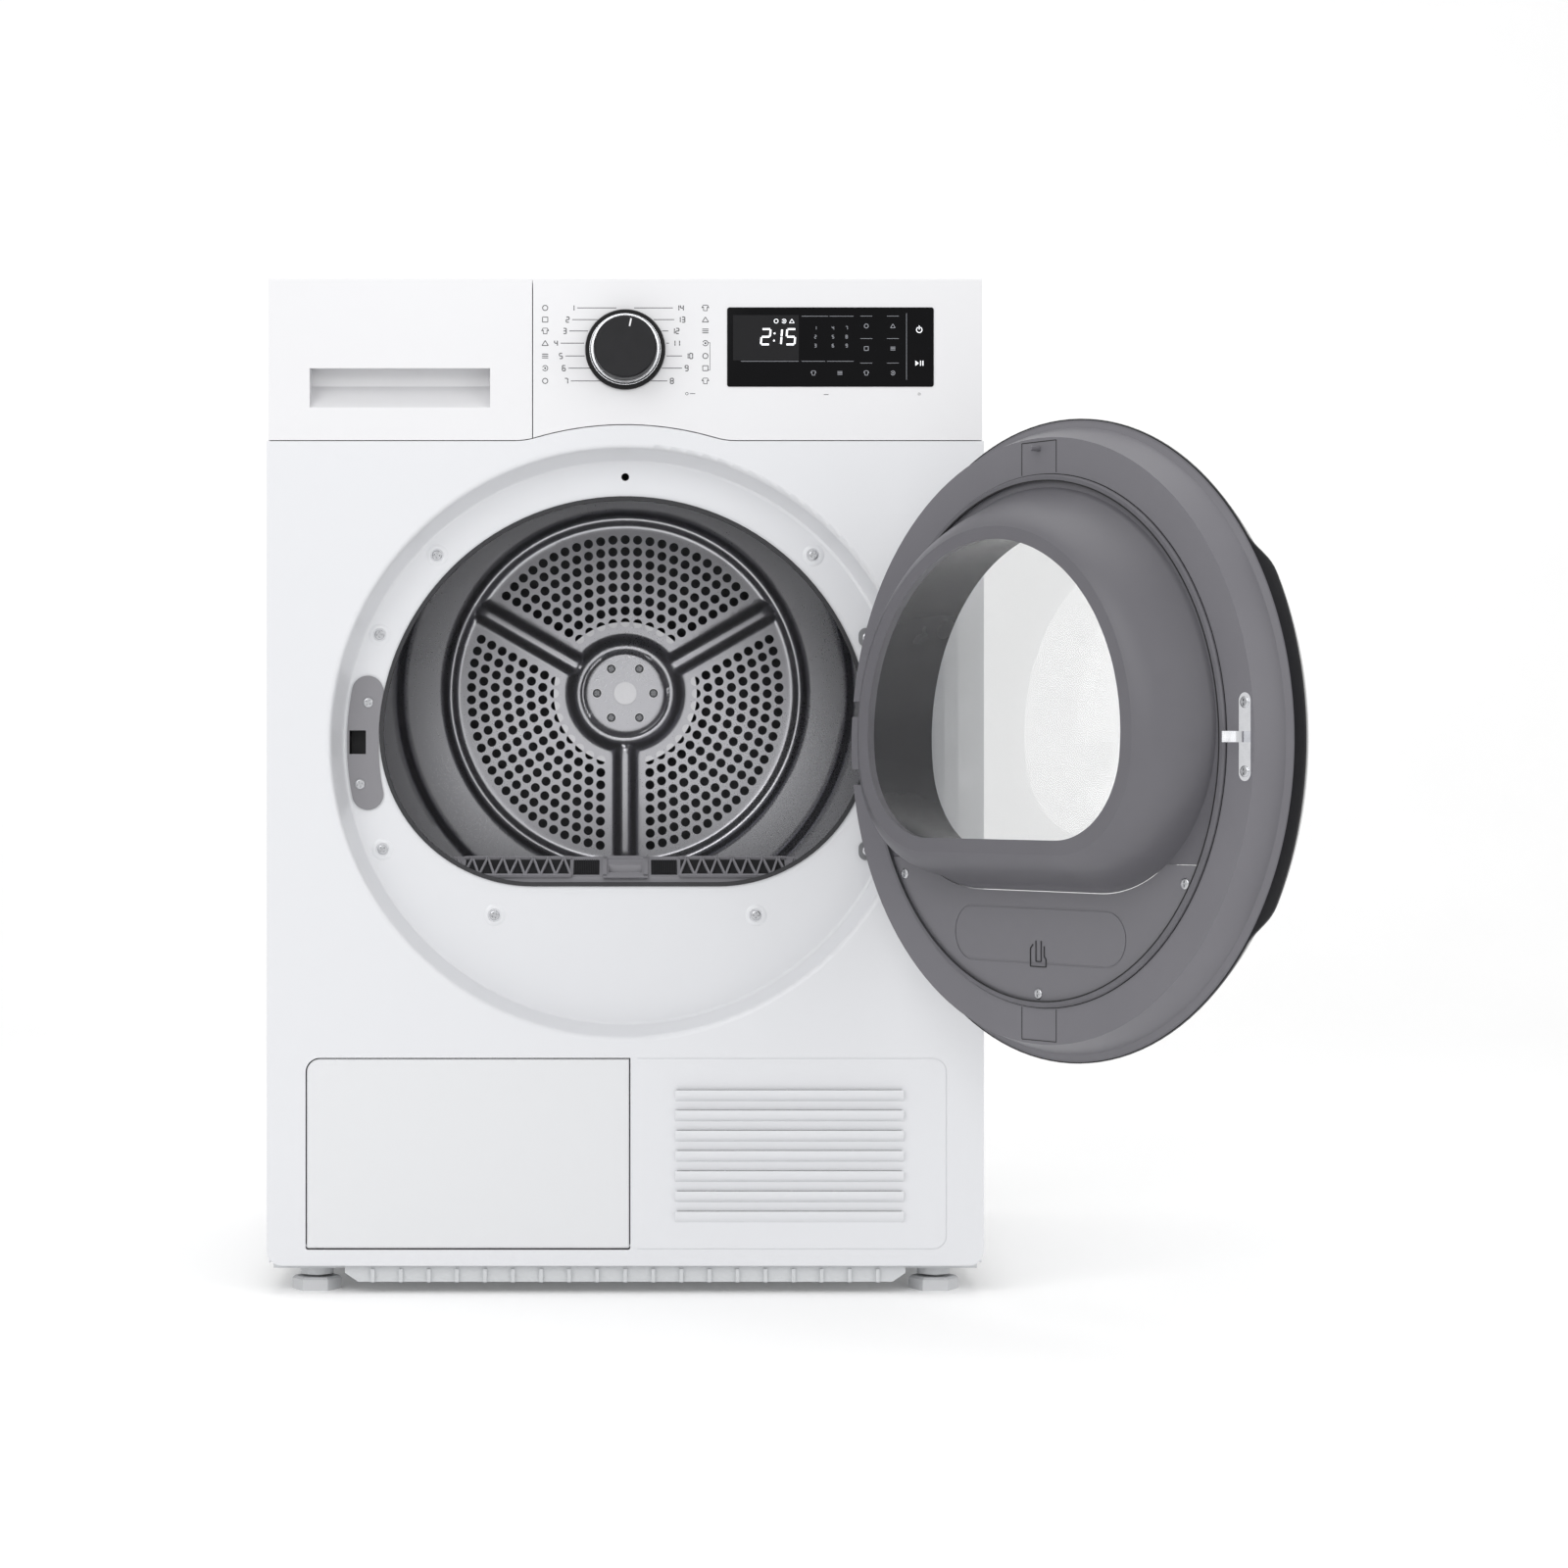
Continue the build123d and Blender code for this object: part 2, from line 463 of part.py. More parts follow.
with BuildPart() as front_bulkhead:
    extrude(opening_outline(behind(DISH_DEPTH + SKIN), 14).sketch, amount=-3)
    extrude(opening_outline(behind(DISH_DEPTH + SKIN), 1 + THROAT).sketch,
            amount=BULKHEAD_FRONT - BULKHEAD_BACK)
    barrel(0, DRUM_Z, (BULKHEAD_BACK - 4, BULKHEAD_BACK), PLATE_R)
    block((-200, 200), (BULKHEAD_BACK - 4, BULKHEAD_BACK), (206, 330))
    block((-FILTER_X - 6, FILTER_X + 6), (DUCT_Y[0], BULKHEAD_BACK), (206, 341))
    extrude(opening_outline(behind(DISH_DEPTH), 1).sketch, amount=-50, mode=Mode.SUBTRACT)
    block((-FILTER_X - 3, FILTER_X + 3), (DUCT_Y[0] + DUCT_WALL, BULKHEAD_BACK - 4), (203, 370),
          mode=Mode.SUBTRACT)
    block((-240, -213), (-280, -250), (436, 488), mode=Mode.SUBTRACT)
    for side in (-1, 1):
        barrel(side * ROLLER_X, ROLLER_Z, (BULKHEAD_BACK - 4, ROLLER_Y[1] + 6), AXLE_R)
        barrel(side * ROLLER_X, ROLLER_Z, (BULKHEAD_BACK - 4, ROLLER_Y[0] - 1), 9)
        barrel(side * ROLLER_X, ROLLER_Z, (ROLLER_Y[1] + 1, ROLLER_Y[1] + 6), 8)
front_bulkhead.part.label = "front_bulkhead"
export_step(front_bulkhead.part, "parts/front_bulkhead.step")

for name, side in (("front_roller_left", -1), ("front_roller_right", 1)):
    with BuildPart() as roller:
        barrel(side * ROLLER_X, ROLLER_Z, ROLLER_Y, ROLLER_R, AXLE_R + RUNNING)
    roller.part.label = name
    export_step(roller.part, f"parts/{name}.step")

# Rubber lip round the laundry opening.
with BuildPart() as opening_gasket:
    extrude(opening_outline(behind(DISH_DEPTH - 1.5), 1.8).sketch, amount=-1.5)
    extrude(opening_outline(behind(DISH_DEPTH - 1.5)).sketch, amount=-4)
    extrude(opening_outline(behind(DISH_DEPTH - 3), -1.8).sketch, amount=-10, mode=Mode.SUBTRACT)
opening_gasket.part.label = "opening_gasket"
export_step(opening_gasket.part, "parts/opening_gasket.step")

# ---------------------------------------------------------------- lint filter
# A crescent frame in the foot of the opening, with a flat filter bag hanging in the duct.
FILTER_TOP = 364.5
FILTER_BACK = -226.0
with BuildPart() as lint_filter:
    extrude(opening_outline(behind(38), -1.2).sketch, amount=-36)
    with BuildSketch(Plane(origin=(-300, 0, 0), x_dir=(0, 1, 0), z_dir=(1, 0, 0))) as above:
        Polygon((FILTER_BACK - 72, FILTER_TOP - 36), (FILTER_BACK + 10, FILTER_TOP + 5),
                (FILTER_BACK + 10, 900), (FILTER_BACK - 72, 900), align=None)
    extrude(above.sketch, amount=600, mode=Mode.SUBTRACT)
    with BuildSketch(Plane(origin=(0, FILTER_Y[0], 0), x_dir=(1, 0, 0), z_dir=(0, 1, 0))) as bag:
        Polygon((-FILTER_X, -348), (FILTER_X, -348), (FILTER_X - 14, -FILTER_LOW),
                (14 - FILTER_X, -FILTER_LOW), align=None)
    extrude(bag.sketch, amount=FILTER_Y[1] - FILTER_Y[0])
    block((-FILTER_X - 30, FILTER_X + 30), (-263, -258.9), (300, 348), mode=Mode.SUBTRACT)
    block((-14, 14), (-252, -240), (346, 370), mode=Mode.SUBTRACT)
    block((-118, 118), (FILTER_Y[0] + 3, FILTER_Y[1] - 3), (FILTER_LOW - 1, 344), mode=Mode.SUBTRACT)
lint_filter.part.label = "lint_filter"
export_step(lint_filter.part, "parts/lint_filter.step")

# ---------------------------------------------------------------- lock and hinge bracket
LOCK_TILT = 14.3
LOCK_THICK = 1.5
LOCK_R = (208.5, 235.0)
LOCK_Y = FRONT_Y + DISH_DEPTH
with BuildPart() as lock_plate:
    with BuildSketch(behind(DISH_DEPTH - LOCK_THICK)):
        with BuildLine() as lock_line:
            CenterArc((0, DISH_Z), sum(LOCK_R) / 2, 180 - LOCK_TILT + 3, 2 * LOCK_TILT - 6)
        SlotArc(lock_line.edge(), LOCK_R[1] - LOCK_R[0])
    extrude(amount=-LOCK_THICK)
    block((-233, -219), (-300, -250), (452, 472), mode=Mode.SUBTRACT)
lock_plate.part.label = "lock_plate"
export_step(lock_plate.part, "parts/lock_plate.step")

# The catch behind the plate: a case with a square socket for the door's hook.
with BuildPart() as door_lock:
    block((-233.6, -213.6), (LOCK_Y + SKIN, -236.5), (438, 486))
    block((-233, -219), (LOCK_Y, -246), (452, 472), mode=Mode.SUBTRACT)
door_lock.part.label = "door_lock"
export_step(door_lock.part, "parts/door_lock.step")

# Steel plate on the dish with two bent arms that hold the door's hinge pin.
PIN_R = 2.5
KNUCKLE_R = 4.2
EAR_X = 204.5
EAR_Z = 90.0
ARM_LOW = 22.5
ARM_HIGH = 33.5
with BuildPart() as hinge_bracket:
    extrude(rectangle_outline(behind(DISH_DEPTH - 2), (209.5, 222), (DOOR_Z - 58, DOOR_Z + 58), 4).sketch,
            amount=-2)
    for ear_z in (DOOR_Z - EAR_Z, DOOR_Z + EAR_Z):
        ear = rectangle_outline(behind(DISH_DEPTH - 2), (197, 212.5), (ear_z - 8, ear_z + 8), 6)
        extrude(ear.sketch, amount=-2)
    block((209.5, 212.5), (LOCK_Y - 2, LOCK_Y), (DOOR_Z - EAR_Z, DOOR_Z + EAR_Z))
    for low in (-ARM_HIGH, ARM_LOW):
        with BuildSketch(Plane(origin=(0, 0, DOOR_Z + low))):
            Polygon((210, LOCK_Y - 1), (215, LOCK_Y - 1), (215, HINGE_Y + 14), (HINGE_X + 1, HINGE_Y + 3.4),
                    (HINGE_X - 2, HINGE_Y - 3), (210, HINGE_Y + 11), align=None)
            with Locations((HINGE_X, HINGE_Y)):
                Circle(KNUCKLE_R)
        extrude(amount=ARM_HIGH - ARM_LOW)
    post(HINGE_X, HINGE_Y, (DOOR_Z - ARM_HIGH, DOOR_Z + ARM_HIGH), PIN_R)
hinge_bracket.part.label = "hinge_bracket"
export_step(hinge_bracket.part, "parts/hinge_bracket.step")

# ---------------------------------------------------------------- drum
# Steel shell rolled in at the front, pressed rear wall, three lifters and the hub with its bolts.
LIP_R = 250.0
SHAFT_R = 12.0
with BuildPart() as drum_shell:
    barrel(0, DRUM_Z, (DRUM_FRONT, DRUM_REAR), DRUM_OUT, DRUM_R)
    barrel(0, DRUM_Z, (DRUM_FRONT, DRUM_FRONT + DRUM_SHEET), DRUM_R, LIP_R)
    barrel(0, DRUM_Z, (DRUM_FRONT, DRUM_FRONT + 8), LIP_R + DRUM_SHEET, LIP_R)
drum_shell.part.label = "drum_shell"
export_step(drum_shell.part, "parts/drum_shell.step")

# The rear wall is stepped in at its edge and carries a raised ring and three spokes.
STEP_R = 225.0
BEAD_R = 171.0
SPOKE_LENGTH = 118.0
WALL_FRONT = DRUM_REAR - DRUM_SHEET
with BuildPart() as drum_rear_wall:
    turned(0, DRUM_Z, ((0, WALL_FRONT - 8), (STEP_R - 8, WALL_FRONT - 8), (STEP_R, WALL_FRONT),
                       (DRUM_R, WALL_FRONT), (DRUM_R, DRUM_REAR), (STEP_R - 0.6, DRUM_REAR),
                       (STEP_R - 8.6, DRUM_REAR - 8), (0, DRUM_REAR - 8)))
    turned(0, DRUM_Z, ((BEAD_R - 5, WALL_FRONT - 7.5), (BEAD_R - 3, WALL_FRONT - 13),
                       (BEAD_R + 3, WALL_FRONT - 13),
                       (BEAD_R + 5, WALL_FRONT - 7.5)))
    for spoke in (30, 150, 270):
        root = (46 * cos(radians(spoke)), DRUM_Z + 46 * sin(radians(spoke)))
        with BuildSketch(Plane(origin=(root[0], WALL_FRONT - 7.5, root[1]),
                               x_dir=(cos(radians(spoke)), 0, sin(radians(spoke))), z_dir=(0, -1, 0))):
            with Locations((SPOKE_LENGTH / 2, 0)):
                Rectangle(SPOKE_LENGTH, 26)
        extrude(amount=7, taper=40)
    turned(0, DRUM_Z, ((0, WALL_FRONT - 7.5), (0, WALL_FRONT - 14), (50, WALL_FRONT - 14),
                       (56, WALL_FRONT - 7.5)))
drum_rear_wall.part.label = "drum_rear_wall"
export_step(drum_rear_wall.part, "parts/drum_rear_wall.step")

LIFTER_Y = (-180.0, 190.0)
with BuildPart() as drum_lifters:
    for lifter in (30, 150, 270):
        outward = (cos(radians(lifter)), 0, sin(radians(lifter)))
        with BuildSketch(Plane(origin=(0, LIFTER_Y[0], DRUM_Z), x_dir=outward, z_dir=(0, 1, 0))):
            Polygon((DRUM_R + 5, -34), (DRUM_R + 5, 34), (250, 20), (237, 9), (237, -9), (250, -20),
                    align=None)
        extrude(amount=LIFTER_Y[1] - LIFTER_Y[0])
    barrel(0, DRUM_Z, (LIFTER_Y[0] - 1, LIFTER_Y[1] + 1), DRUM_R + 20, DRUM_R, mode=Mode.SUBTRACT)
drum_lifters.part.label = "drum_lifters"
export_step(drum_lifters.part, "parts/drum_lifters.step")

HUB_FACE = WALL_FRONT - 14
BOLT_CIRCLE_R = 27.5
with BuildPart() as drum_hub:
    barrel(0, DRUM_Z, (DRUM_REAR - 8, DRUM_REAR - 3), 70)
    barrel(0, DRUM_Z, (DRUM_REAR - 3, 284), SHAFT_R)
    for bolt in range(6):
        bolt_x = BOLT_CIRCLE_R * cos(radians(60 * bolt))
        bolt_z = DRUM_Z + BOLT_CIRCLE_R * sin(radians(60 * bolt))
        barrel(bolt_x, bolt_z, (HUB_FACE - 3, HUB_FACE), 5)
    barrel(0, DRUM_Z, (HUB_FACE - 4, HUB_FACE), 11)
drum_hub.part.label = "drum_hub"
export_step(drum_hub.part, "parts/drum_hub.step")

# Felt rings that the drum's rims run against, held by the bulkhead and the rear duct.
DUCT_R = 178.0
SEAL_GAP = 0.6
with BuildPart() as drum_seals:
    barrel(0, DRUM_Z, (BULKHEAD_BACK, DRUM_FRONT - SEAL_GAP), 262, 251)
    barrel(0, DRUM_Z, (DRUM_REAR - 8 + SEAL_GAP, 226), DUCT_R + 2, DUCT_R - 9)
drum_seals.part.label = "drum_seals"
export_step(drum_seals.part, "parts/drum_seals.step")

# ---------------------------------------------------------------- rear bearing and air duct
with BuildPart() as rear_bearing:
    barrel(0, DRUM_Z, (289, REAR_FRONT), 60)
    barrel(0, DRUM_Z, (250, 289), 22)
    barrel(0, DRUM_Z, (245, 290), SHAFT_R + RUNNING, mode=Mode.SUBTRACT)
rear_bearing.part.label = "rear_bearing"
export_step(rear_bearing.part, "parts/rear_bearing.step")

# One moulding: fan scroll low down, riser, and the round pan behind the drum.
SCROLL_R = 84.0
SCROLL_Y = (190.0, 290.0)
RISER_X = (55.0, 150.0)
RISER_Y = 262.0
with BuildPart() as air_duct:
    barrel(0, DRUM_Z, (226, 296.5), DUCT_R)
    barrel(MOTOR_X, MOTOR_Z, SCROLL_Y, SCROLL_R)
    block(RISER_X, (RISER_Y, SCROLL_Y[1]), (MOTOR_Z, 400))
    barrel(0, DRUM_Z, (220, 294), DUCT_R - DUCT_WALL, mode=Mode.SUBTRACT)
    barrel(0, DRUM_Z, (290, 300), 62, mode=Mode.SUBTRACT)
    barrel(MOTOR_X, MOTOR_Z, (SCROLL_Y[0] + DUCT_WALL, SCROLL_Y[1] - DUCT_WALL), SCROLL_R - DUCT_WALL,
           mode=Mode.SUBTRACT)
    barrel(MOTOR_X, MOTOR_Z, (SCROLL_Y[0] - 1, SCROLL_Y[0] + 5), 50, mode=Mode.SUBTRACT)
    block((RISER_X[0] + DUCT_WALL, RISER_X[1] - DUCT_WALL), (RISER_Y + DUCT_WALL, SCROLL_Y[1] - DUCT_WALL),
          (MOTOR_Z, 402), mode=Mode.SUBTRACT)
air_duct.part.label = "air_duct"
export_step(air_duct.part, "parts/air_duct.step")

# ---------------------------------------------------------------- motor, pulley and blower wheel
MOTOR_Y = (25.0, 150.0)
MOTOR_SHAFT_R = 6.0
PIVOT_X = 72.0           # stud that carries the idler arm
PIVOT_Z = 108.0
PIVOT_R = 4.0
ARM_Y = (-20.0, -15.5)
WHEEL_Y = (206.0, 252.0)
WHEEL_R = 70.0
with BuildPart() as motor_body:
    barrel(MOTOR_X, MOTOR_Z, MOTOR_Y, 56)
    barrel(MOTOR_X, MOTOR_Z, (MOTOR_Y[0] - 8, MOTOR_Y[1] + 8), 20)
    block((MOTOR_X - 45, MOTOR_X + 45), (MOTOR_Y[0] + 10, MOTOR_Y[1] - 10), (BASE_HIGH, MOTOR_Z - 30))
    block((PIVOT_X - 8, MOTOR_X - 45), (MOTOR_Y[0], MOTOR_Y[0] + 12), (PIVOT_Z - 8, PIVOT_Z + 8))
    barrel(PIVOT_X, PIVOT_Z, (ARM_Y[0] - 2, MOTOR_Y[0] + 6), PIVOT_R)
    barrel(MOTOR_X, MOTOR_Z, (0, 200), MOTOR_SHAFT_R + RUNNING, mode=Mode.SUBTRACT)
motor_body.part.label = "motor_body"
export_step(motor_body.part, "parts/motor_body.step")

with BuildPart() as motor_shaft:
    barrel(MOTOR_X, MOTOR_Z, (BELT_Y - 12, WHEEL_Y[0]), MOTOR_SHAFT_R)
    barrel(MOTOR_X, MOTOR_Z, (BELT_Y - 10, BELT_Y + 10), MOTOR_PULLEY_R)
    barrel(MOTOR_X, MOTOR_Z, (BELT_Y - 12, BELT_Y - 9), MOTOR_PULLEY_R + 5)
    barrel(MOTOR_X, MOTOR_Z, (BELT_Y + 9, BELT_Y + 12), MOTOR_PULLEY_R + 5)
motor_shaft.part.label = "motor_shaft"
export_step(motor_shaft.part, "parts/motor_shaft.step")

BLADES = 24
with BuildPart() as blower_wheel:
    barrel(MOTOR_X, MOTOR_Z, (WHEEL_Y[1] - 3, WHEEL_Y[1]), WHEEL_R)
    barrel(MOTOR_X, MOTOR_Z, (WHEEL_Y[0], WHEEL_Y[0] + 3), WHEEL_R, WHEEL_R - 17)
    barrel(MOTOR_X, MOTOR_Z, (WHEEL_Y[0], WHEEL_Y[1]), 14)
    with Locations(Location((MOTOR_X, sum(WHEEL_Y) / 2, MOTOR_Z), (90, 0, 0))):
        with PolarLocations(WHEEL_R - 8.5, BLADES):
            Box(15, 2, WHEEL_Y[1] - WHEEL_Y[0] - 2)
blower_wheel.part.label = "blower_wheel"
export_step(blower_wheel.part, "parts/blower_wheel.step")

# ---------------------------------------------------------------- belt and idler
# The belt runs round the drum, over the motor pulley and under the idler, which presses on its back.
BELT_CLEAR = 0.3
IDLER_X = 26.0
IDLER_Z = 170.0
DRUM_PATH_R = DRUM_OUT + BELT_CLEAR
PULLEY_PATH_R = MOTOR_PULLEY_R + BELT_CLEAR
IDLER_PATH_R = IDLER_R + BELT_CLEAR + BELT


def tangent(start, end):
    """Straight run between two wheels (x, z, radius); a negative radius turns the other way."""
    reach = hypot(end[0] - start[0], end[1] - start[1])
    heading = atan2(end[1] - start[1], end[0] - start[0])
    normal = heading + acos((end[2] - start[2]) / reach)
    return [(x - radius * cos(normal), z - radius * sin(normal)) for x, z, radius in (start, end)]


def bend(wheel, start, end):
    """Middle of the belt's short way round a wheel between two tangent points."""
    x = (start[0] + end[0]) / 2 - wheel[0]
    z = (start[1] + end[1]) / 2 - wheel[1]
    scale = abs(wheel[2]) / hypot(x, z)
    return (wheel[0] + x * scale, wheel[1] + z * scale)


def belt_outline(plane, thickness):
    """Area inside the belt, whose path is pushed outward by `thickness`."""
    drum = (0.0, DRUM_Z, DRUM_PATH_R + thickness)
    pulley = (MOTOR_X, MOTOR_Z, PULLEY_PATH_R + thickness)
    idler = (IDLER_X, IDLER_Z, thickness - IDLER_PATH_R)
    left = tangent(drum, idler)
    short = tangent(idler, pulley)
    right = tangent(pulley, drum)
    with BuildSketch(plane) as outline:
        with BuildLine():
            ThreePointArc(right[1], (drum[0], drum[1] + drum[2]), left[0])
            Line(*left)
            ThreePointArc(left[1], bend(idler, left[1], short[0]), short[0])
            Line(*short)
            ThreePointArc(short[1], bend(pulley, short[1], right[0]), right[0])
            Line(*right)
        make_face()
    return outline


with BuildPart() as drum_belt:
    belt_plane = Plane(origin=(0, BELT_Y + BELT_WIDTH / 2, 0), x_dir=(1, 0, 0), z_dir=(0, -1, 0))
    extrude(belt_outline(belt_plane, BELT).sketch, amount=BELT_WIDTH)
    extrude(belt_outline(belt_plane, 0.0).sketch, amount=BELT_WIDTH, mode=Mode.SUBTRACT)
drum_belt.part.label = "drum_belt"
export_step(drum_belt.part, "parts/drum_belt.step")


# A pressed arm swings on the motor's stud and carries the idler wheel on a pin.
with BuildPart() as idler_arm:
    reach = hypot(PIVOT_X - IDLER_X, PIVOT_Z - IDLER_Z)
    lean = degrees(atan2(IDLER_Z - PIVOT_Z, IDLER_X - PIVOT_X))
    with BuildSketch(Plane(origin=(0, ARM_Y[1], 0), x_dir=(1, 0, 0), z_dir=(0, -1, 0))):
        with Locations(((PIVOT_X + IDLER_X) / 2, (PIVOT_Z + IDLER_Z) / 2)):
            SlotCenterToCenter(reach, 18, rotation=lean)
    extrude(amount=ARM_Y[1] - ARM_Y[0])
    barrel(PIVOT_X, PIVOT_Z, (ARM_Y[0] - 1, ARM_Y[1] + 1), PIVOT_R + RUNNING, mode=Mode.SUBTRACT)
    barrel(IDLER_X, IDLER_Z, (ARM_Y[1], 4), 4)
idler_arm.part.label = "idler_arm"
export_step(idler_arm.part, "parts/idler_arm.step")

with BuildPart() as idler_pulley:
    barrel(IDLER_X, IDLER_Z, (BELT_Y - 7, BELT_Y + 7), IDLER_R, 4 + RUNNING)
idler_pulley.part.label = "idler_pulley"
export_step(idler_pulley.part, "parts/idler_pulley.step")

# ---------------------------------------------------------------- heat pump circuit
# The compressor stands on three rubber-bushed feet, its suction pipe brazed on.
COMPRESSOR_X = 205.0
COMPRESSOR_Y = -120.0
COMPRESSOR_R = 58.0
PIPE_Y = -150.0
PIPE_Z = 150.0
with BuildPart() as compressor:
    post(COMPRESSOR_X, COMPRESSOR_Y, (40, 232), COMPRESSOR_R)
    fillet(compressor.edges().filter_by(GeomType.CIRCLE), 24)
    for turn in (60, 180, 300):
        foot_x = COMPRESSOR_X + 56 * cos(radians(turn))
        foot_y = COMPRESSOR_Y + 56 * sin(radians(turn))
        post(foot_x, foot_y, (BASE_HIGH, 44), 14)
        post((foot_x + COMPRESSOR_X) / 2, (foot_y + COMPRESSOR_Y) / 2, (38, 44), 30)
    ring(Plane(origin=(-3, PIPE_Y, PIPE_Z), x_dir=(0, 1, 0), z_dir=(1, 0, 0)), 5, 0, 170)
compressor.part.label = "compressor"
export_step(compressor.part, "parts/compressor.step")

# Evaporator in front, condenser behind it, joined by a short tube and piped through the tunnel wall.
CORE_X = (-258.0, -9.0)
CORE_Z = (28.0, 194.0)
CORES = ((-225.0, -135.0), (-118.0, -32.0))
FIN_PITCH = 17.5
FIN_COUNT = 15
with BuildPart() as heat_exchanger:
    for core in CORES:
        middle = (sum(CORE_X) / 2, sum(core) / 2, sum(CORE_Z) / 2)
        with Locations(middle):
            with GridLocations(FIN_PITCH, 1, FIN_COUNT, 1):
                Box(1.6, core[1] - core[0], CORE_Z[1] - CORE_Z[0])
        with Locations(Location(middle, (0, 90, 0))):
            with GridLocations(50, 40, 3, 2):
                Cylinder(5, FIN_PITCH * (FIN_COUNT - 1))
    with Locations(Location((-46, (CORES[0][1] + CORES[1][0]) / 2, 134), (90, 0, 0))):
        Cylinder(4, CORES[1][0] - CORES[0][1] + 16)
    with BuildSketch(Plane(origin=(-20, PIPE_Y, PIPE_Z), x_dir=(0, 1, 0), z_dir=(1, 0, 0))):
        Circle(5)
    extrude(amount=14)
heat_exchanger.part.label = "heat_exchanger"
export_step(heat_exchanger.part, "parts/heat_exchanger.step")

# Cover of the heat exchanger, behind the flap, held by two quarter-turn levers.
COVER_Y = (-276.0, -270.0)
LEVER_X = {"cover_lever_left": -236.0, "cover_lever_right": -30.0}
LEVER_Z = 119.0
with BuildPart() as exchanger_cover:
    extrude(rectangle_outline(FRONT.offset(FRONT_Y - COVER_Y[0]), (-258, -9), (46, 192), 8).sketch,
            amount=COVER_Y[0] - COVER_Y[1])
    extrude(rectangle_outline(FRONT.offset(FRONT_Y - COVER_Y[0]), (-212, -54), (70, 168), 8).sketch,
            amount=-2, mode=Mode.SUBTRACT)
    for lever_x in LEVER_X.values():
        barrel(lever_x, LEVER_Z, (-280, -265), 3 + RUNNING, mode=Mode.SUBTRACT)
exchanger_cover.part.label = "exchanger_cover"
export_step(exchanger_cover.part, "parts/exchanger_cover.step")

for name, lever_x in LEVER_X.items():
    with BuildPart() as lever:
        extrude(rectangle_outline(behind(18), (lever_x - 8, lever_x + 8), (LEVER_Z - 24, LEVER_Z + 24),
                                  6).sketch,
                amount=-5)
        block((lever_x - 2, lever_x + 2), (-288, -282), (LEVER_Z - 18, LEVER_Z + 18))
        barrel(lever_x, LEVER_Z, (-277.5, -268), 3)
    lever.part.label = name
    export_step(lever.part, f"parts/{name}.step")

# Service flap: a plate on two pins along its lower edge.
PIN_RUN = 4.3
with BuildPart() as access_flap:
    with BuildSketch(FRONT) as flap:
        with Locations(((FLAP_LEFT + FLAP_RIGHT) / 2, (FLAP_LOW + FLAP_HIGH) / 2)):
            Rectangle(FLAP_RIGHT - FLAP_LEFT, FLAP_HIGH - FLAP_LOW)
        fillet(flap.vertices().group_by(Axis.X)[0].sort_by(Axis.Y)[-1], BAY_R - 1)
        fillet(flap.vertices().group_by(Axis.Y)[0], 1.2)
    extrude(amount=-WALL)
    chamfer(access_flap.edges().group_by(Axis.Z)[0].group_by(Axis.Y)[0], 1)
    with Locations(Location(((FLAP_LEFT + FLAP_RIGHT) / 2, FLAP_AXIS_Y, FLAP_AXIS_Z), (0, 90, 0))):
        Cylinder(2.4, FLAP_RIGHT - FLAP_LEFT - 2 * BAY_R)
        Cylinder(LUG_HOLE_R - RUNNING, FLAP_RIGHT - FLAP_LEFT + 2 * PIN_RUN)
access_flap.part.label = "access_flap"
export_step(access_flap.part, "parts/access_flap.step")

# ---------------------------------------------------------------- condensate pump and cooling fan
with BuildPart() as condensate_pump:
    block((28, 72), (-215, -165), (BASE_HIGH, 52))
    post(50, -190, (52, 84), 20)
    post(50, -190, (84, 96), 6)
condensate_pump.part.label = "condensate_pump"
export_step(condensate_pump.part, "parts/condensate_pump.step")

FAN_X = 137.0
FAN_Z = 116.0
FAN_Y = (-272.0, -247.0)
FAN_R = 54.0
with BuildPart() as cooling_fan_frame:
    block((FAN_X - 60, FAN_X + 60), FAN_Y, (FAN_Z - 60, FAN_Z + 60))
    barrel(FAN_X, FAN_Z, (FAN_Y[0] - 1, FAN_Y[1] + 1), FAN_R + 2, mode=Mode.SUBTRACT)
    barrel(FAN_X, FAN_Z, (FAN_Y[1] - 3, FAN_Y[1]), 18)
    for turn in (45, 135, 225, 315):
        with Locations(Location((FAN_X, FAN_Y[1] - 1.5, FAN_Z), (0, turn, 0))):
            with Locations((38, 0, 0)):
                Box(48, 3, 6)
    barrel(FAN_X, FAN_Z, (FAN_Y[1] - 12, FAN_Y[1]), 6)
    barrel(FAN_X, FAN_Z, (FAN_Y[1] - 13, FAN_Y[1] + 1), 2 + RUNNING, mode=Mode.SUBTRACT)
    block((FAN_X - 60, FAN_X + 60), (-262, -257), (BASE_HIGH, FAN_Z - 60))
cooling_fan_frame.part.label = "cooling_fan_frame"
export_step(cooling_fan_frame.part, "parts/cooling_fan_frame.step")

FAN_BLADES = 7
with BuildPart() as cooling_fan:
    barrel(FAN_X, FAN_Z, (FAN_Y[0] + 2, FAN_Y[1] - 5), 17)
    barrel(FAN_X, FAN_Z, (FAN_Y[0] + 5, FAN_Y[1] - 4), 14, mode=Mode.SUBTRACT)
    barrel(FAN_X, FAN_Z, (FAN_Y[0] + 4, FAN_Y[1] - 1), 2)
    with Locations(Location((FAN_X, sum(FAN_Y) / 2 - 1, FAN_Z), (90, 0, 0))):
        with PolarLocations((16 + FAN_R) / 2, FAN_BLADES):
            Box(FAN_R - 16, 24, 2, rotation=(32, 0, 0))
cooling_fan.part.label = "cooling_fan"
export_step(cooling_fan.part, "parts/cooling_fan.step")

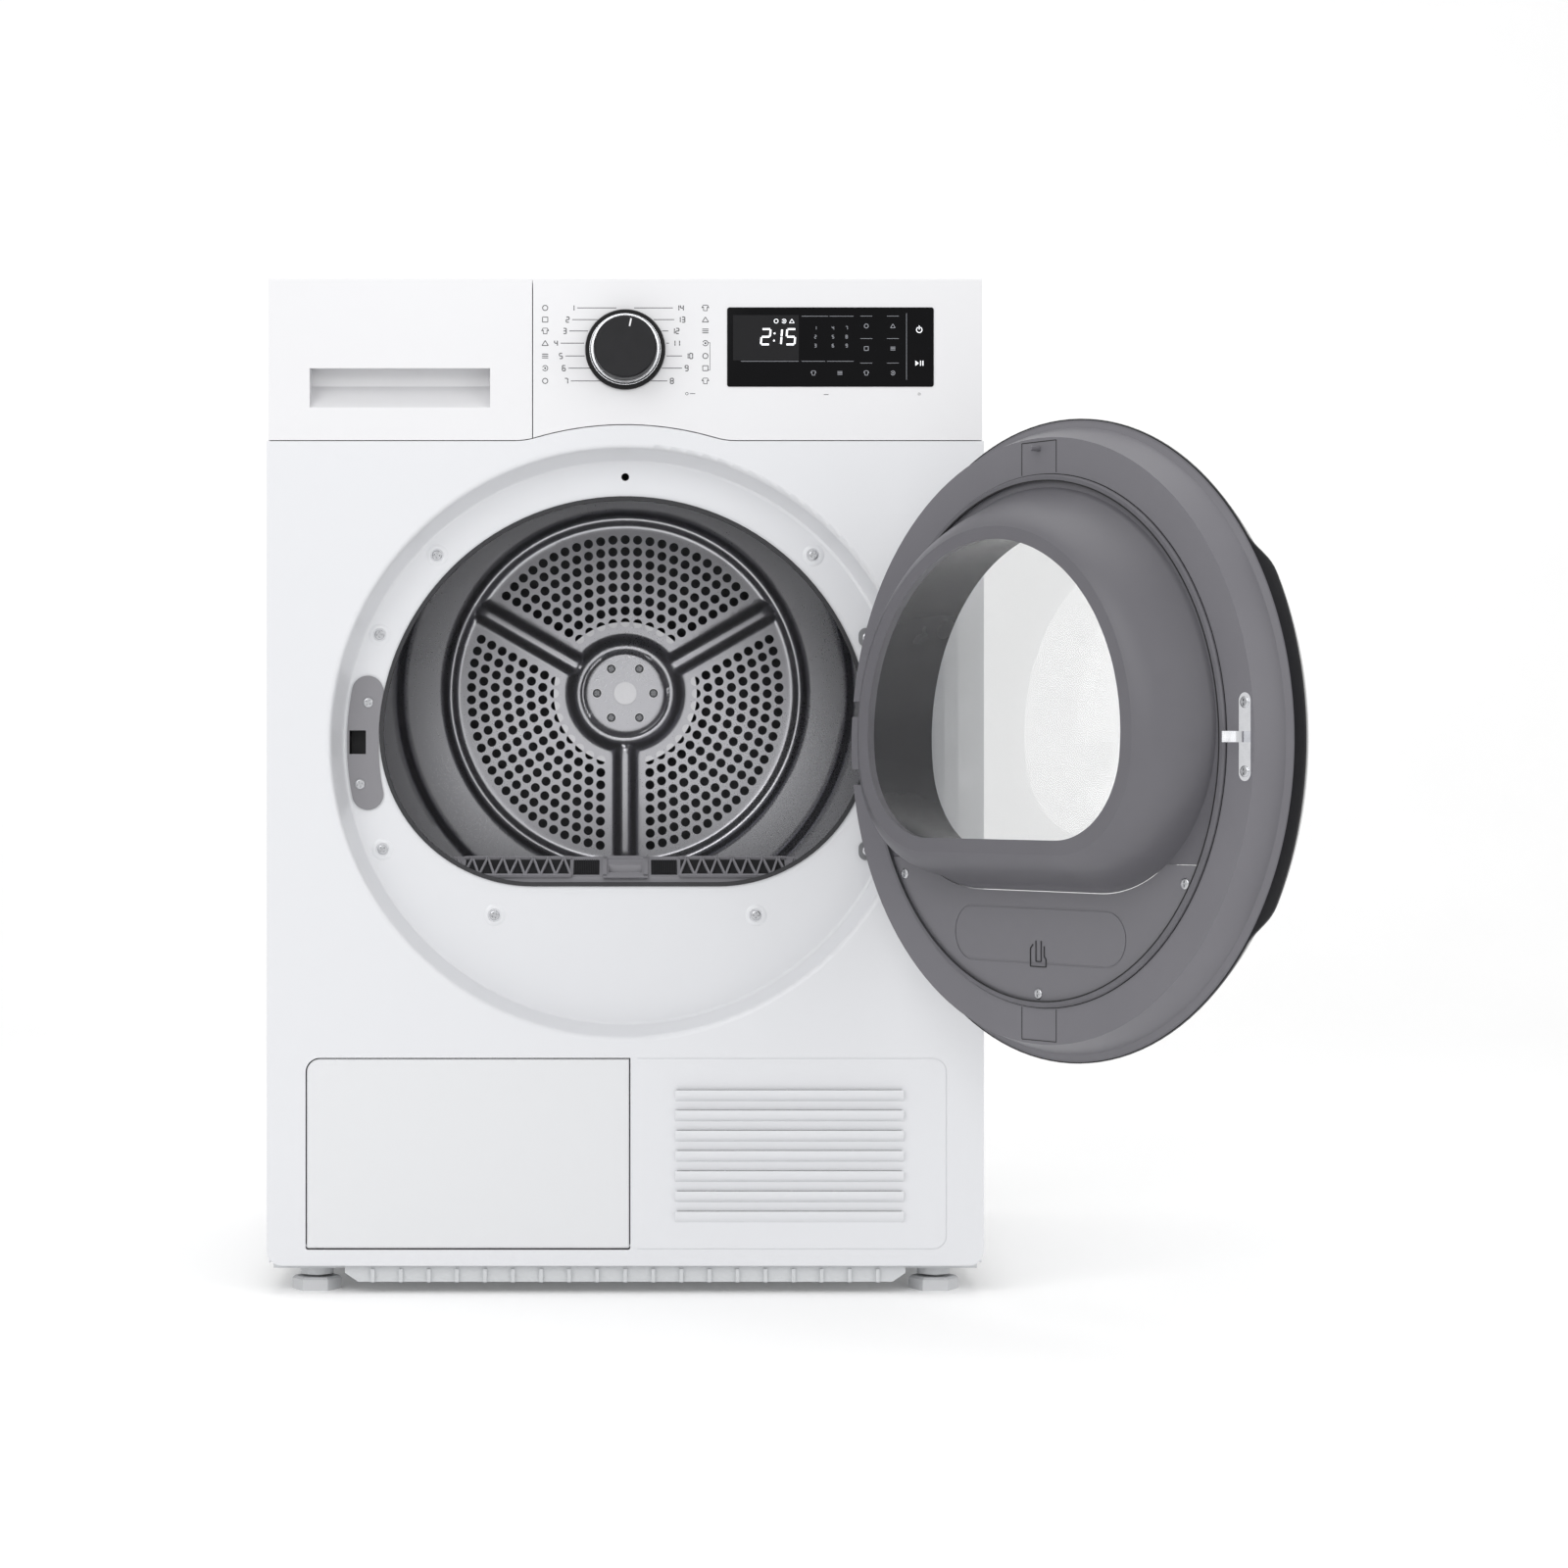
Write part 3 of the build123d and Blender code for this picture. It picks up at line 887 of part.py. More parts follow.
# ---------------------------------------------------------------- rear fittings and cabinet screws
# Cord gland on the right and drain spigot on the left, both clipped through the rear sheet.
GLAND_BORE_R = 4.0
SPIGOT_R = 6.0
with BuildPart() as rear_fittings:
    barrel(GLAND_X, GLAND_Z, (288, REAR_BACK), 9, GLAND_BORE_R)
    barrel(GLAND_X, GLAND_Z, (REAR_BACK, REAR_BACK + 1.8), 13, GLAND_BORE_R)
    barrel(SPIGOT_X, SPIGOT_Z, (288, REAR_BACK), 9, 4)
    barrel(SPIGOT_X, SPIGOT_Z, (REAR_BACK, REAR_BACK + 1.8), 13, 4)
    barrel(SPIGOT_X, SPIGOT_Z, (REAR_BACK, REAR_BACK + 20), SPIGOT_R, 4)
rear_fittings.part.label = "rear_fittings"
export_step(rear_fittings.part, "parts/rear_fittings.step")

SCREW_R = 4.2
SCREW_HIGH = 1.4
DISH_SCREWS = ((-159, 620), (159, 620), (-207.5, 552.8), (-205, 371.4), (-110.5, 315.8), (110.5, 315.8))
PLATE_SCREWS = ((-217, 495.5), (-224, 426.5), (EAR_X, DOOR_Z - EAR_Z), (EAR_X, DOOR_Z + EAR_Z))
with BuildPart() as cabinet_screws:
    for screw_x, screw_z in DISH_SCREWS:
        barrel(screw_x, screw_z, (LOCK_Y - SCREW_HIGH, LOCK_Y), SCREW_R)
    for screw_x, screw_z in PLATE_SCREWS:
        seat = LOCK_Y - (LOCK_THICK if screw_x < 0 else 2)
        barrel(screw_x, screw_z, (seat - SCREW_HIGH, seat), SCREW_R)
    for screw_x in (-285, 0, 285):
        for screw_z in (40, 300, 815):
            barrel(screw_x, screw_z, (REAR_BACK, REAR_BACK + 1.8), SCREW_R)
cabinet_screws.part.label = "cabinet_screws"
export_step(cabinet_screws.part, "parts/cabinet_screws.step")

# ---------------------------------------------------------------- door
# Everything on the door is placed on planes of the open door: x towards the hinge, y up and the
# normal outward, measured from the middle of the rim.
SWING = radians(DOOR_ANGLE)
DOOR_ACROSS = Vector(cos(SWING), sin(SWING), 0)
DOOR_OUT = Vector(sin(SWING), -cos(SWING), 0)
HINGE_OUT = DOOR_RIM_Y - HINGE_Y
DOOR_CENTRE = Vector(HINGE_X, HINGE_Y, DOOR_Z) - DOOR_ACROSS * HINGE_X - DOOR_OUT * HINGE_OUT
DOOR = Plane(origin=DOOR_CENTRE, x_dir=DOOR_ACROSS, z_dir=DOOR_OUT)
DOOR_SECTION = Plane(origin=DOOR_CENTRE, x_dir=DOOR_ACROSS, z_dir=(0, 0, -1))
DOOR_AXIS = Axis(DOOR_CENTRE, DOOR_OUT)


def door_level(height):
    """Level plane across the door at a height above its middle: x to the hinge, y inward."""
    return Plane(origin=DOOR_CENTRE + Vector(0, 0, height), x_dir=DOOR_ACROSS, z_dir=(0, 0, 1))


def door_turned(outline, mode=Mode.ADD):
    """Closed (radius, outward) outline turned about the middle of the door."""
    with BuildSketch(DOOR_SECTION) as half:
        Polygon(*outline, align=None)
    revolve(half.sketch, axis=DOOR_AXIS, mode=mode)


def rim_outline(out, radius, bulge):
    """Outline across the door: round, with a swelling for the handle on the far side."""
    wide = 28
    blend = 9
    start = 180 - wide - blend
    reach = radius + bulge
    ends = [(radius, start), (reach, 180 - wide), (reach, 180 + wide), (radius, 180 + wide + blend)]
    points = [(r * cos(radians(a)), r * sin(radians(a))) for r, a in ends]
    ways = [(-sin(radians(a)), cos(radians(a))) for r, a in ends]
    with BuildSketch(DOOR.offset(out)) as outline:
        with BuildLine():
            CenterArc((0, 0), radius, -start, 2 * start)
            Spline(points[0], points[1], tangents=(ways[0], ways[1]))
            CenterArc((0, 0), reach, 180 - wide, 2 * wide)
            Spline(points[2], points[3], tangents=(ways[2], ways[3]))
        make_face()
    return outline


def collar_outline(out, radius, foot, corner, lift=0.0):
    """Outline across the door's throat: a circle whose foot is cut flat."""
    with BuildSketch(DOOR.offset(out)) as outline:
        with Locations((0, lift)):
            Circle(radius)
        with Locations((0, foot - 150)):
            Rectangle(500, 300, mode=Mode.SUBTRACT)
        fillet(outline.vertices().group_by(Axis.Y)[0], corner)
    return outline


def hinge_notches():
    """Clear the two bent hinge arms through the whole swing of the door."""
    for low in (-ARM_HIGH - 0.8, ARM_LOW - 0.8):
        with BuildSketch(door_level(low)) as notch:
            Polygon((206.5, 45), (206.5, 2), (211, -10), (HINGE_X - 3, -HINGE_OUT - 4.6),
                    (HINGE_X, -HINGE_OUT - 4.6), (HINGE_X + 30, -HINGE_OUT - 9), (HINGE_X + 30,
                                                                                  45), align=None)
            with Locations((HINGE_X, -HINGE_OUT)):
                Circle(KNUCKLE_R + 0.6)
        extrude(notch.sketch, amount=ARM_HIGH - ARM_LOW + 1.6, mode=Mode.SUBTRACT)


# Gloss black outer ring; it slopes back from the window to the rim.
WINDOW_R = 206.6
with BuildPart() as door_outer_frame:
    slope = [rim_outline(0, DOOR_R, DOOR_HANDLE_R - DOOR_R), rim_outline(13, 241, 7),
             rim_outline(23, 231.5, 4),
             rim_outline(29, 219, 1)]
    loft([outline.sketch for outline in slope])
    cavity = [rim_outline(-1, 247.5, 8.5), rim_outline(11, 237.5, 6.5), rim_outline(18, 229, 4),
              rim_outline(22.5, 217, 1)]
    loft([outline.sketch for outline in cavity], mode=Mode.SUBTRACT)
    ring(DOOR.offset(-2), 198, 0, 40, mode=Mode.SUBTRACT)
    ring(DOOR.offset(25), WINDOW_R + 0.4, 0, 10, mode=Mode.SUBTRACT)
    hinge_notches()
    post(HINGE_X, HINGE_Y, (DOOR_Z - ARM_LOW - 1, DOOR_Z + ARM_LOW + 1), KNUCKLE_R + 0.5,
         mode=Mode.SUBTRACT)
door_outer_frame.part.label = "door_outer_frame"
export_step(door_outer_frame.part, "parts/door_outer_frame.step")

DOME_R = 3955.0
DOME_TOP = 34.0


def dome(radius, ball):
    """Point of a ball's surface, bulging outward, at a distance from the middle of the door."""
    return radius, DOME_TOP - DOME_R + sqrt(ball * ball - radius * radius)


with BuildPart() as door_outer_window:
    with BuildSketch(DOOR_SECTION) as glass:
        with BuildLine():
            ThreePointArc(*[dome(part * WINDOW_R / 2, DOME_R) for part in range(3)])
            Line(dome(WINDOW_R, DOME_R), dome(WINDOW_R, DOME_R - 3.3))
            ThreePointArc(*[dome(part * WINDOW_R / 2, DOME_R - 3.3) for part in (2, 1, 0)])
            Line(dome(0, DOME_R - 3.3), dome(0, DOME_R))
        make_face()
    revolve(glass.sketch, axis=DOOR_AXIS)
door_outer_window.part.label = "door_outer_window"
export_step(door_outer_window.part, "parts/door_outer_window.step")

# Grey inner ring: flat face, bevel to the rim, finger scoop at the handle and the guide peg on top.
FACE = DOOR_BACK
with BuildPart() as door_inner_frame:
    door_turned(((SEAL_R + 0.5, FACE), (234, FACE), (242.5, -4), (DOOR_R, -0.4), (DOOR_R, 0),
                 (DOOR_R - 3, 0),
                 (240.2, -2.6), (232, FACE + WALL), (SEAL_R + 0.5, FACE + WALL)))
    extrude(rim_outline(-1.6, DOOR_R, DOOR_HANDLE_R - DOOR_R).sketch, amount=1.6)
    ring(DOOR.offset(-5), 242, 0, 10, mode=Mode.SUBTRACT)
    door_turned(((240, -4.6), (242.5, -4), (DOOR_R, -0.4), (DOOR_R, 0), (DOOR_R - 3, 0), (240.2, -2.6)))
    hinge_notches()
    with BuildSketch(DOOR.offset(FACE + 0.5)) as peg:
        with Locations((0, PEG_Z)):
            Circle(2)
    extrude(peg.sketch, amount=-9.5)
door_inner_frame.part.label = "door_inner_frame"
export_step(door_inner_frame.part, "parts/door_inner_frame.step")

# Throat that fills the laundry opening: sloping outside, flat foot, and a tube back to the window.
PLATE_EDGE = 201.0
COVER_TOP = -92.0
with BuildPart() as door_collar:
    outside = [collar_outline(FACE, 195.5, -115.5, 125), collar_outline(-50, 184, -105, 100),
               collar_outline(-70, 171, -96, 85, 2), collar_outline(-78, 160, -86, 80, 4)]
    loft([outline.sketch for outline in outside])
    extrude(collar_outline(FACE, 176, -101, 85, 2).sketch, amount=-FACE)
    with BuildSketch(DOOR.offset(FACE)) as plate:
        Circle(PLATE_EDGE)
        with Locations((0, COVER_TOP - 150)):
            Rectangle(500, 300, mode=Mode.SUBTRACT)
    extrude(plate.sketch, amount=WALL)
    inside = [collar_outline(-78.5, 148, -75, 72, 6), collar_outline(0.5, 163, -90, 80, 3)]
    loft([outline.sketch for outline in inside], mode=Mode.SUBTRACT)
door_collar.part.label = "door_collar"
export_step(door_collar.part, "parts/door_collar.step")

with BuildPart() as door_inner_window:
    extrude(collar_outline(0, 176, -101, 85, 2).sketch, amount=4)
door_inner_window.part.label = "door_inner_window"
export_step(door_inner_window.part, "parts/door_inner_window.step")

# Cover below the throat, flush with the inner face, with a tab down to the rim.
with BuildPart() as door_lower_cover:
    with BuildSketch(DOOR.offset(FACE - 0.6)) as cover:
        Circle(PLATE_EDGE)
        with Locations((0, COVER_TOP - 0.4 + 150)):
            Rectangle(500, 300, mode=Mode.SUBTRACT)
        add(collar_outline(FACE, 196.1, -116.1, 125.6).sketch_local, mode=Mode.SUBTRACT)
    extrude(cover.sketch, amount=WALL)
    with BuildSketch(DOOR.offset(FACE - 0.6)) as pressed:
        with Locations((0, -150)):
            SlotOverall(200, 44)
            SlotOverall(197, 41, mode=Mode.SUBTRACT)
    extrude(pressed.sketch, amount=0.5, mode=Mode.SUBTRACT)
door_lower_cover.part.label = "door_lower_cover"
export_step(door_lower_cover.part, "parts/door_lower_cover.step")

with BuildPart() as door_seal:
    door_turned(((PLATE_EDGE + 0.3, FACE - 3), (SEAL_R - 0.8, FACE - 3), (SEAL_R + 0.5, FACE - 1.5),
                 (SEAL_R + 0.5, FACE + WALL), (PLATE_EDGE + 0.3, FACE + WALL)))
door_seal.part.label = "door_seal"
export_step(door_seal.part, "parts/door_seal.step")

# Latch: a plate with a pointed hook that enters the catch.
LATCH_X = -225.0
LATCH_Z = 1.5
with BuildPart() as latch_hook:
    with BuildSketch(DOOR.offset(FACE)) as latch_plate:
        with Locations((LATCH_X, LATCH_Z)):
            SlotOverall(64, 12, rotation=90)
    extrude(latch_plate.sketch, amount=-1)
    with BuildSketch(door_level(LATCH_Z - 4)) as hook:
        Polygon((LATCH_X - 2.5, -FACE), (LATCH_X - 2.5, -FACE + 12), (LATCH_X + 0.5, -FACE + 23),
                (LATCH_X + 3.5, -FACE + 14), (LATCH_X + 0.5, -FACE + 12), (LATCH_X + 2, -FACE), align=None)
    extrude(hook.sketch, amount=8)
latch_hook.part.label = "latch_hook"
export_step(latch_hook.part, "parts/latch_hook.step")

# Hinge leaf inside the door: a knuckle between the bracket's arms and a foot on the inner ring.
with BuildPart() as hinge_leaf:
    post(HINGE_X, HINGE_Y, (DOOR_Z - ARM_LOW + 0.5, DOOR_Z + ARM_LOW - 0.5), KNUCKLE_R)
    with BuildSketch(door_level(-18)) as leaf:
        Polygon((HINGE_X, 1 - HINGE_OUT), (HINGE_X, 3.5 - HINGE_OUT), (214, 8 - HINGE_OUT),
                (214, -FACE - WALL),
                (208, -FACE - WALL), (208, 1 - HINGE_OUT), align=None)
    extrude(leaf.sketch, amount=36)
    post(HINGE_X, HINGE_Y, (DOOR_Z - ARM_LOW, DOOR_Z + ARM_LOW), PIN_R + RUNNING, mode=Mode.SUBTRACT)
hinge_leaf.part.label = "hinge_leaf"
export_step(hinge_leaf.part, "parts/hinge_leaf.step")

DOOR_SCREWS = ((-163, -106, FACE - 0.6), (163, -106, FACE - 0.6), (0, -195, FACE - 0.6),
               (LATCH_X, LATCH_Z + 25, FACE - 1), (LATCH_X, LATCH_Z - 25, FACE - 1))
with BuildPart() as door_screws:
    for across, up, out in DOOR_SCREWS:
        with BuildSketch(DOOR.offset(out)) as head:
            with Locations((across, up)):
                Circle(SCREW_R)
        extrude(head.sketch, amount=-SCREW_HIGH)
door_screws.part.label = "door_screws"
export_step(door_screws.part, "parts/door_screws.step")
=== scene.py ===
import json
import math

import bmesh
import bpy
import numpy as np
from mathutils import Matrix, Vector
from mathutils.geometry import delaunay_2d_cdt


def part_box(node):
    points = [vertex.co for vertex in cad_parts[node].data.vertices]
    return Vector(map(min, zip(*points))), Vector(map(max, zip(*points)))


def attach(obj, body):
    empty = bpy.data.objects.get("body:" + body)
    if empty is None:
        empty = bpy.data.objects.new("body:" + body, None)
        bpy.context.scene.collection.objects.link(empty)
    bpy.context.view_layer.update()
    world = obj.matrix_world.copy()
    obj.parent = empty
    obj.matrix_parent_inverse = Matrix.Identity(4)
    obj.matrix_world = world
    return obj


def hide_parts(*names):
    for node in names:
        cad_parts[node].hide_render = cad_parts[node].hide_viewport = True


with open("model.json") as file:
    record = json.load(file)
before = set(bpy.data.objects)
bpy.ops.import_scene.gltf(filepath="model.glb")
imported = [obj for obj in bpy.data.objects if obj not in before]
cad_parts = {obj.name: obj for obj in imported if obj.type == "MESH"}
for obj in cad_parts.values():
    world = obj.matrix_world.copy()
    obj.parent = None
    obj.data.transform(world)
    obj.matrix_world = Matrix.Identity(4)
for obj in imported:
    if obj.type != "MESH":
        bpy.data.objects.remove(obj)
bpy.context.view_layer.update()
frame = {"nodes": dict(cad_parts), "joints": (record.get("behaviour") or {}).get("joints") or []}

MM = 0.001


def tone(red, green, blue):
    """Linear colour of an eight-bit screen colour."""
    shares = [value / 255 for value in (red, green, blue)]
    return tuple(s / 12.92 if s <= 0.04045 else ((s + 0.055) / 1.055) ** 2.4 for s in shares) + (1.0,)


class Strand:
    """One output of a shader node; arithmetic on it adds Math nodes."""

    def __init__(self, finish, socket):
        self.finish = finish
        self.socket = socket

    def sum_with(self, operation, *values):
        sockets = dict(enumerate(values))
        return self.finish.node("ShaderNodeMath", {"operation": operation}, sockets)

    def __add__(self, other):
        return self.sum_with("ADD", self, other)

    def __sub__(self, other):
        return self.sum_with("SUBTRACT", self, other)

    def __rsub__(self, other):
        return self.sum_with("SUBTRACT", other, self)

    def __mul__(self, other):
        return self.sum_with("MULTIPLY", self, other)

    def __lt__(self, other):
        return self.sum_with("LESS_THAN", self, other)

    def __gt__(self, other):
        return self.sum_with("GREATER_THAN", self, other)

    def __pow__(self, other):
        return self.sum_with("POWER", self, other)

    __radd__ = __add__
    __rmul__ = __mul__


class Finish:
    """A material on the bench: its node tree, its shader and the piece's own coordinates."""

    def __init__(self, name, colour=None, **constants):
        self.material = bpy.data.materials.new(name)
        self.material.use_nodes = True
        self.tree = self.material.node_tree
        self.shader = self.tree.nodes["Principled BSDF"]
        self.place = self.node("ShaderNodeTexCoord", output="Object")
        if colour:
            self.set("Base Color", colour)
        for socket, value in constants.items():
            self.set(socket.replace("_", " "), value)

    def node(self, kind, settings=None, sockets=None, output=0):
        made = self.tree.nodes.new(kind)
        for name, value in (settings or {}).items():
            setattr(made, name, value)
        for name, value in (sockets or {}).items():
            self.join(made.inputs[name], value)
        return Strand(self, made.outputs[output])

    def join(self, place, value):
        if isinstance(value, Strand):
            self.tree.links.new(value.socket, place)
        else:
            place.default_value = value

    def set(self, socket, value):
        self.join(self.shader.inputs[socket], value)

    def part(self, axis):
        """Distance along one axis of the row frame, in metres."""
        return self.node("ShaderNodeSeparateXYZ", sockets={"Vector": self.place}, output=axis)

    def grain(self, scale, detail=3.0, stretch=(1, 1, 1)):
        """Noise with `scale` blots to the metre, drawn out along the axes whose stretch is small."""
        if stretch == (1, 1, 1):
            where = self.place
        else:
            where = self.node("ShaderNodeVectorMath", {"operation": "MULTIPLY"},
                              {0: self.place, 1: stretch})
        return self.node("ShaderNodeTexNoise", {"noise_dimensions": "3D"},
                         {"Vector": where, "Scale": scale, "Detail": detail, "Roughness": 0.55})

    def mix(self, share, first, second):
        """Colour mix of two colours or strands."""
        return self.node("ShaderNodeMix", {"data_type": "RGBA"}, {0: share, 6: first, 7: second}, output=2)

    def emboss(self, height, strength, distance):
        bump = self.node("ShaderNodeBump",
                         sockets={"Height": height, "Strength": strength, "Distance": distance})
        self.set("Normal", bump)


def darker(colour, share):
    return tuple(c * share for c in colour[:3]) + (1.0,)


def moulded(name, colour, roughness=0.42, depth=0.00002, grain=1500, spread=0.06, **constants):
    """Injection-moulded plastic: spark-eroded grain, faint flow clouds, uneven gloss."""
    finish = Finish(name, **constants)
    cloud = finish.grain(9, 2)
    fine = finish.grain(grain, 2)
    finish.set("Base Color", finish.mix(cloud, darker(colour, 1 - spread), darker(colour, 1 + spread * 0.4)))
    finish.set("Roughness", cloud * 0.10 + fine * 0.06 + (roughness - 0.08))
    finish.emboss(fine, 0.5, depth)
    return finish.material


def dress(node, material):
    """Put one material over the whole of a CAD piece."""
    slots = frame["nodes"][node].data.materials
    if len(slots) == 0:
        slots.append(material)
    for index in range(len(slots)):
        slots[index] = material


dress("base_tray", moulded("tray_grey", tone(202, 204, 206), 0.5))

# Levelling feet: hexagonal moulded pads on screws, which turn in the bosses of the tray. A person
# reaches under the front edge and turns the pad by hand.
pad_grey = moulded("pad_grey", tone(204, 205, 207), 0.55, 0.00003)
for corner in ("front_left", "front_right", "rear_left", "rear_right"):
    dress("foot_" + corner, pad_grey)

# Side, top and rear sheets: zinc-coated steel under white baked enamel, which flows out to a
# slight orange peel. The rear sheet is left bare, with its crystals showing.


def enamelled(name, colour, roughness=0.36, peel=0.00005, coat=0.25):
    """Baked enamel on sheet steel."""
    finish = Finish(name, Coat_Roughness=0.16, Coat_Weight=coat)
    cloud = finish.grain(2.5, 2)
    skin = finish.grain(420, 2)
    finish.set("Base Color", finish.mix(cloud, darker(colour, 0.985), colour))
    finish.set("Roughness", skin * 0.08 + (roughness - 0.04))
    finish.emboss(skin, 0.25, peel)
    return finish.material


body_white = enamelled("body_white", tone(221, 222, 224))
for node in ("side_panel_left", "side_panel_right", "top_panel"):
    dress(node, body_white)

zinc = Finish("rear_zinc", Metallic=0.85)
crystals = zinc.node("ShaderNodeTexVoronoi", {"feature": "F1"}, {"Vector": zinc.place, "Scale": 70.0},
                     output="Color")
flake = zinc.node("ShaderNodeSeparateColor", sockets={"Color": crystals})
zinc.set("Base Color", zinc.mix(flake, tone(150, 154, 156), tone(188, 191, 192)))
zinc.set("Roughness", flake * 0.18 + 0.36)
zinc.emboss(zinc.grain(300), 0.15, 0.00003)
dress("rear_panel", zinc.material)

# Heat pump circuit: finned aluminium cores in a moulded tunnel, a black enamelled compressor on
# rubber bushes, and a grey cover that two blue quarter-turn levers hold on.


def metal(name, colour, roughness, stretch=(1, 1, 1), scale=260, depth=0.00002, metallic=1.0, **constants):
    """Bare metal with rolling or brushing marks along the axes whose stretch is small."""
    finish = Finish(name, Metallic=metallic, **constants)
    lines = finish.grain(scale, 3, stretch)
    cloud = finish.grain(7, 2)
    finish.set("Base Color", finish.mix(lines, darker(colour, 0.9), colour))
    finish.set("Roughness", lines * 0.16 + cloud * 0.12 + (roughness - 0.14))
    finish.emboss(lines, 0.35, depth)
    return finish.material


fins = Finish("fin_stock", Metallic=1.0)
edge = fins.node("ShaderNodeTexWave", {"wave_type": "BANDS", "bands_direction": "Y"},
                 {"Vector": fins.place, "Scale": 160.0, "Distortion": 0.6})
fins.set("Base Color", fins.mix(edge, tone(150, 152, 155), tone(205, 207, 210)))
fins.set("Roughness", edge * 0.2 + 0.3)
dress("heat_exchanger", fins.material)
dress("compressor", enamelled("compressor_black", tone(34, 34, 36), 0.32, 0.0001, 0.4))
dress("exchanger_cover", moulded("cover_grey", tone(142, 144, 148), 0.5))
lever_blue = moulded("lever_blue", tone(44, 110, 170), 0.35)
dress("cover_lever_left", lever_blue)
dress("cover_lever_right", lever_blue)
dark_plastic = moulded("works_black", tone(46, 46, 49), 0.5)
for node in ("condensate_pump", "cooling_fan_frame", "cooling_fan", "blower_wheel"):
    dress(node, dark_plastic)

# Motor, idler and belt: a cast motor drives the drum by a ribbed belt; its shaft goes on to the
# blower in the moulded rear duct. The steel idler arm keeps the belt tight.
dress("motor_body", metal("motor_casting", tone(118, 119, 122), 0.55, scale=520, depth=0.00025))
bright_steel = metal("bright_steel", tone(186, 187, 190), 0.3, (1, 0.08, 1))
for node in ("motor_shaft", "idler_arm"):
    dress(node, bright_steel)
dress("air_duct", moulded("duct_grey", tone(124, 126, 130), 0.5))


def rubber(name, colour, roughness=0.72, ribs=0.0):
    """Moulded rubber, dusty in places; ribs are the lengthwise grooves of a belt."""
    finish = Finish(name)
    bloom = finish.grain(40, 4)
    finish.set("Base Color", finish.mix(bloom, darker(colour, 0.8), darker(colour, 1.35)))
    finish.set("Roughness", bloom * 0.16 + (roughness - 0.08))
    if ribs:
        finish.emboss(finish.node("ShaderNodeTexWave", {"wave_type": "BANDS", "bands_direction": "Y"},
                                  {"Vector": finish.place, "Scale": ribs}), 0.8, 0.0006)
    else:
        finish.emboss(finish.grain(900, 2), 0.4, 0.00005)
    return finish.material


dress("drum_belt", rubber("belt_black", tone(34, 34, 35), 0.75, 180))
tread = rubber("roller_tread", tone(58, 58, 60))
for node in ("idler_pulley", "front_roller_left", "front_roller_right"):
    dress(node, tread)

# Drum: a stainless shell rolled in at the front, three hollow plastic lifters, and a pressed rear
# wall with the air holes punched in three sectors. A forged hub is bolted on behind it.
DRUM_Z = 514.0
# The shell's base colour is far darker than bare stainless: painted shade for the dark inside of the drum.
drum_shell_painted_dark = metal("drum_stainless_painted_shade", tone(64, 64, 71), 0.32, (1, 0.03, 1), 700, 0.000002)
dress("drum_shell", drum_shell_painted_dark)
dress("drum_lifters", moulded("lifter_grey", tone(132, 132, 138), 0.4))
dress("drum_hub", metal("hub_steel", tone(242, 242, 245), 0.34, scale=300))


def blend(value, start, end):
    """Smooth step from 0 at `start` to 1 at `end`, on numbers or arrays."""
    share = np.clip((value - start) / (end - start), 0, 1)
    return share * share * (3 - 2 * share)


def make(name, points, faces, material, body, slot=None, smooth=True, pose=None):
    """Build one piece from points in millimetres, ride it on its body and give it its finish."""
    mesh = bpy.data.meshes.new(name)
    mesh.from_pydata([tuple(c * MM for c in point) for point in points], [], faces)
    if pose:
        mesh.transform(pose)
    shell = bmesh.new()
    shell.from_mesh(mesh)
    bmesh.ops.remove_doubles(shell, verts=shell.verts, dist=1e-7)
    bmesh.ops.recalc_face_normals(shell, faces=shell.faces)
    shell.to_mesh(mesh)
    shell.free()
    mesh.materials.append(material)
    if smooth:
        mesh.shade_smooth()
        mesh.set_sharp_from_angle(angle=math.radians(35))
    piece = bpy.data.objects.new(name, mesh)
    bpy.context.scene.collection.objects.link(piece)
    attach(piece, body)
    return piece


SPOKES = (30, 150, 270)
WALL_FACE = 210.8
WALL_RIM = 218.8
WALL_R = 285.6
HOLE_R = 4.5
SPOKE_HALF = 13.0


def wall_depth(x, z):
    """Depth of the pressed wall: stepped edge, raised ring, three spokes and the hub seat."""
    radius = np.hypot(x, z)
    depth = WALL_FACE + (WALL_RIM - WALL_FACE) * blend(radius, 216, 225)
    raised = 4.8 * (1 - blend(np.abs(radius - 171), 0.5, 8.5))
    for turn in SPOKES:
        along = x * math.cos(math.radians(turn)) + z * math.sin(math.radians(turn))
        across = np.abs(-x * math.sin(math.radians(turn)) + z * math.cos(math.radians(turn)))
        ends = blend(along, 40, 56) * (1 - blend(along, 158, 172))
        raised = np.maximum(raised, ends * 6.4 * (1 - blend(across, 2.4, SPOKE_HALF)))
    hub = 6.4 * (1 - blend(radius, 46, 59)) - 1.3 * (1 - blend(np.abs(radius - 41), 0.8, 2.6))
    return depth - np.maximum(raised, hub * (radius < 60))


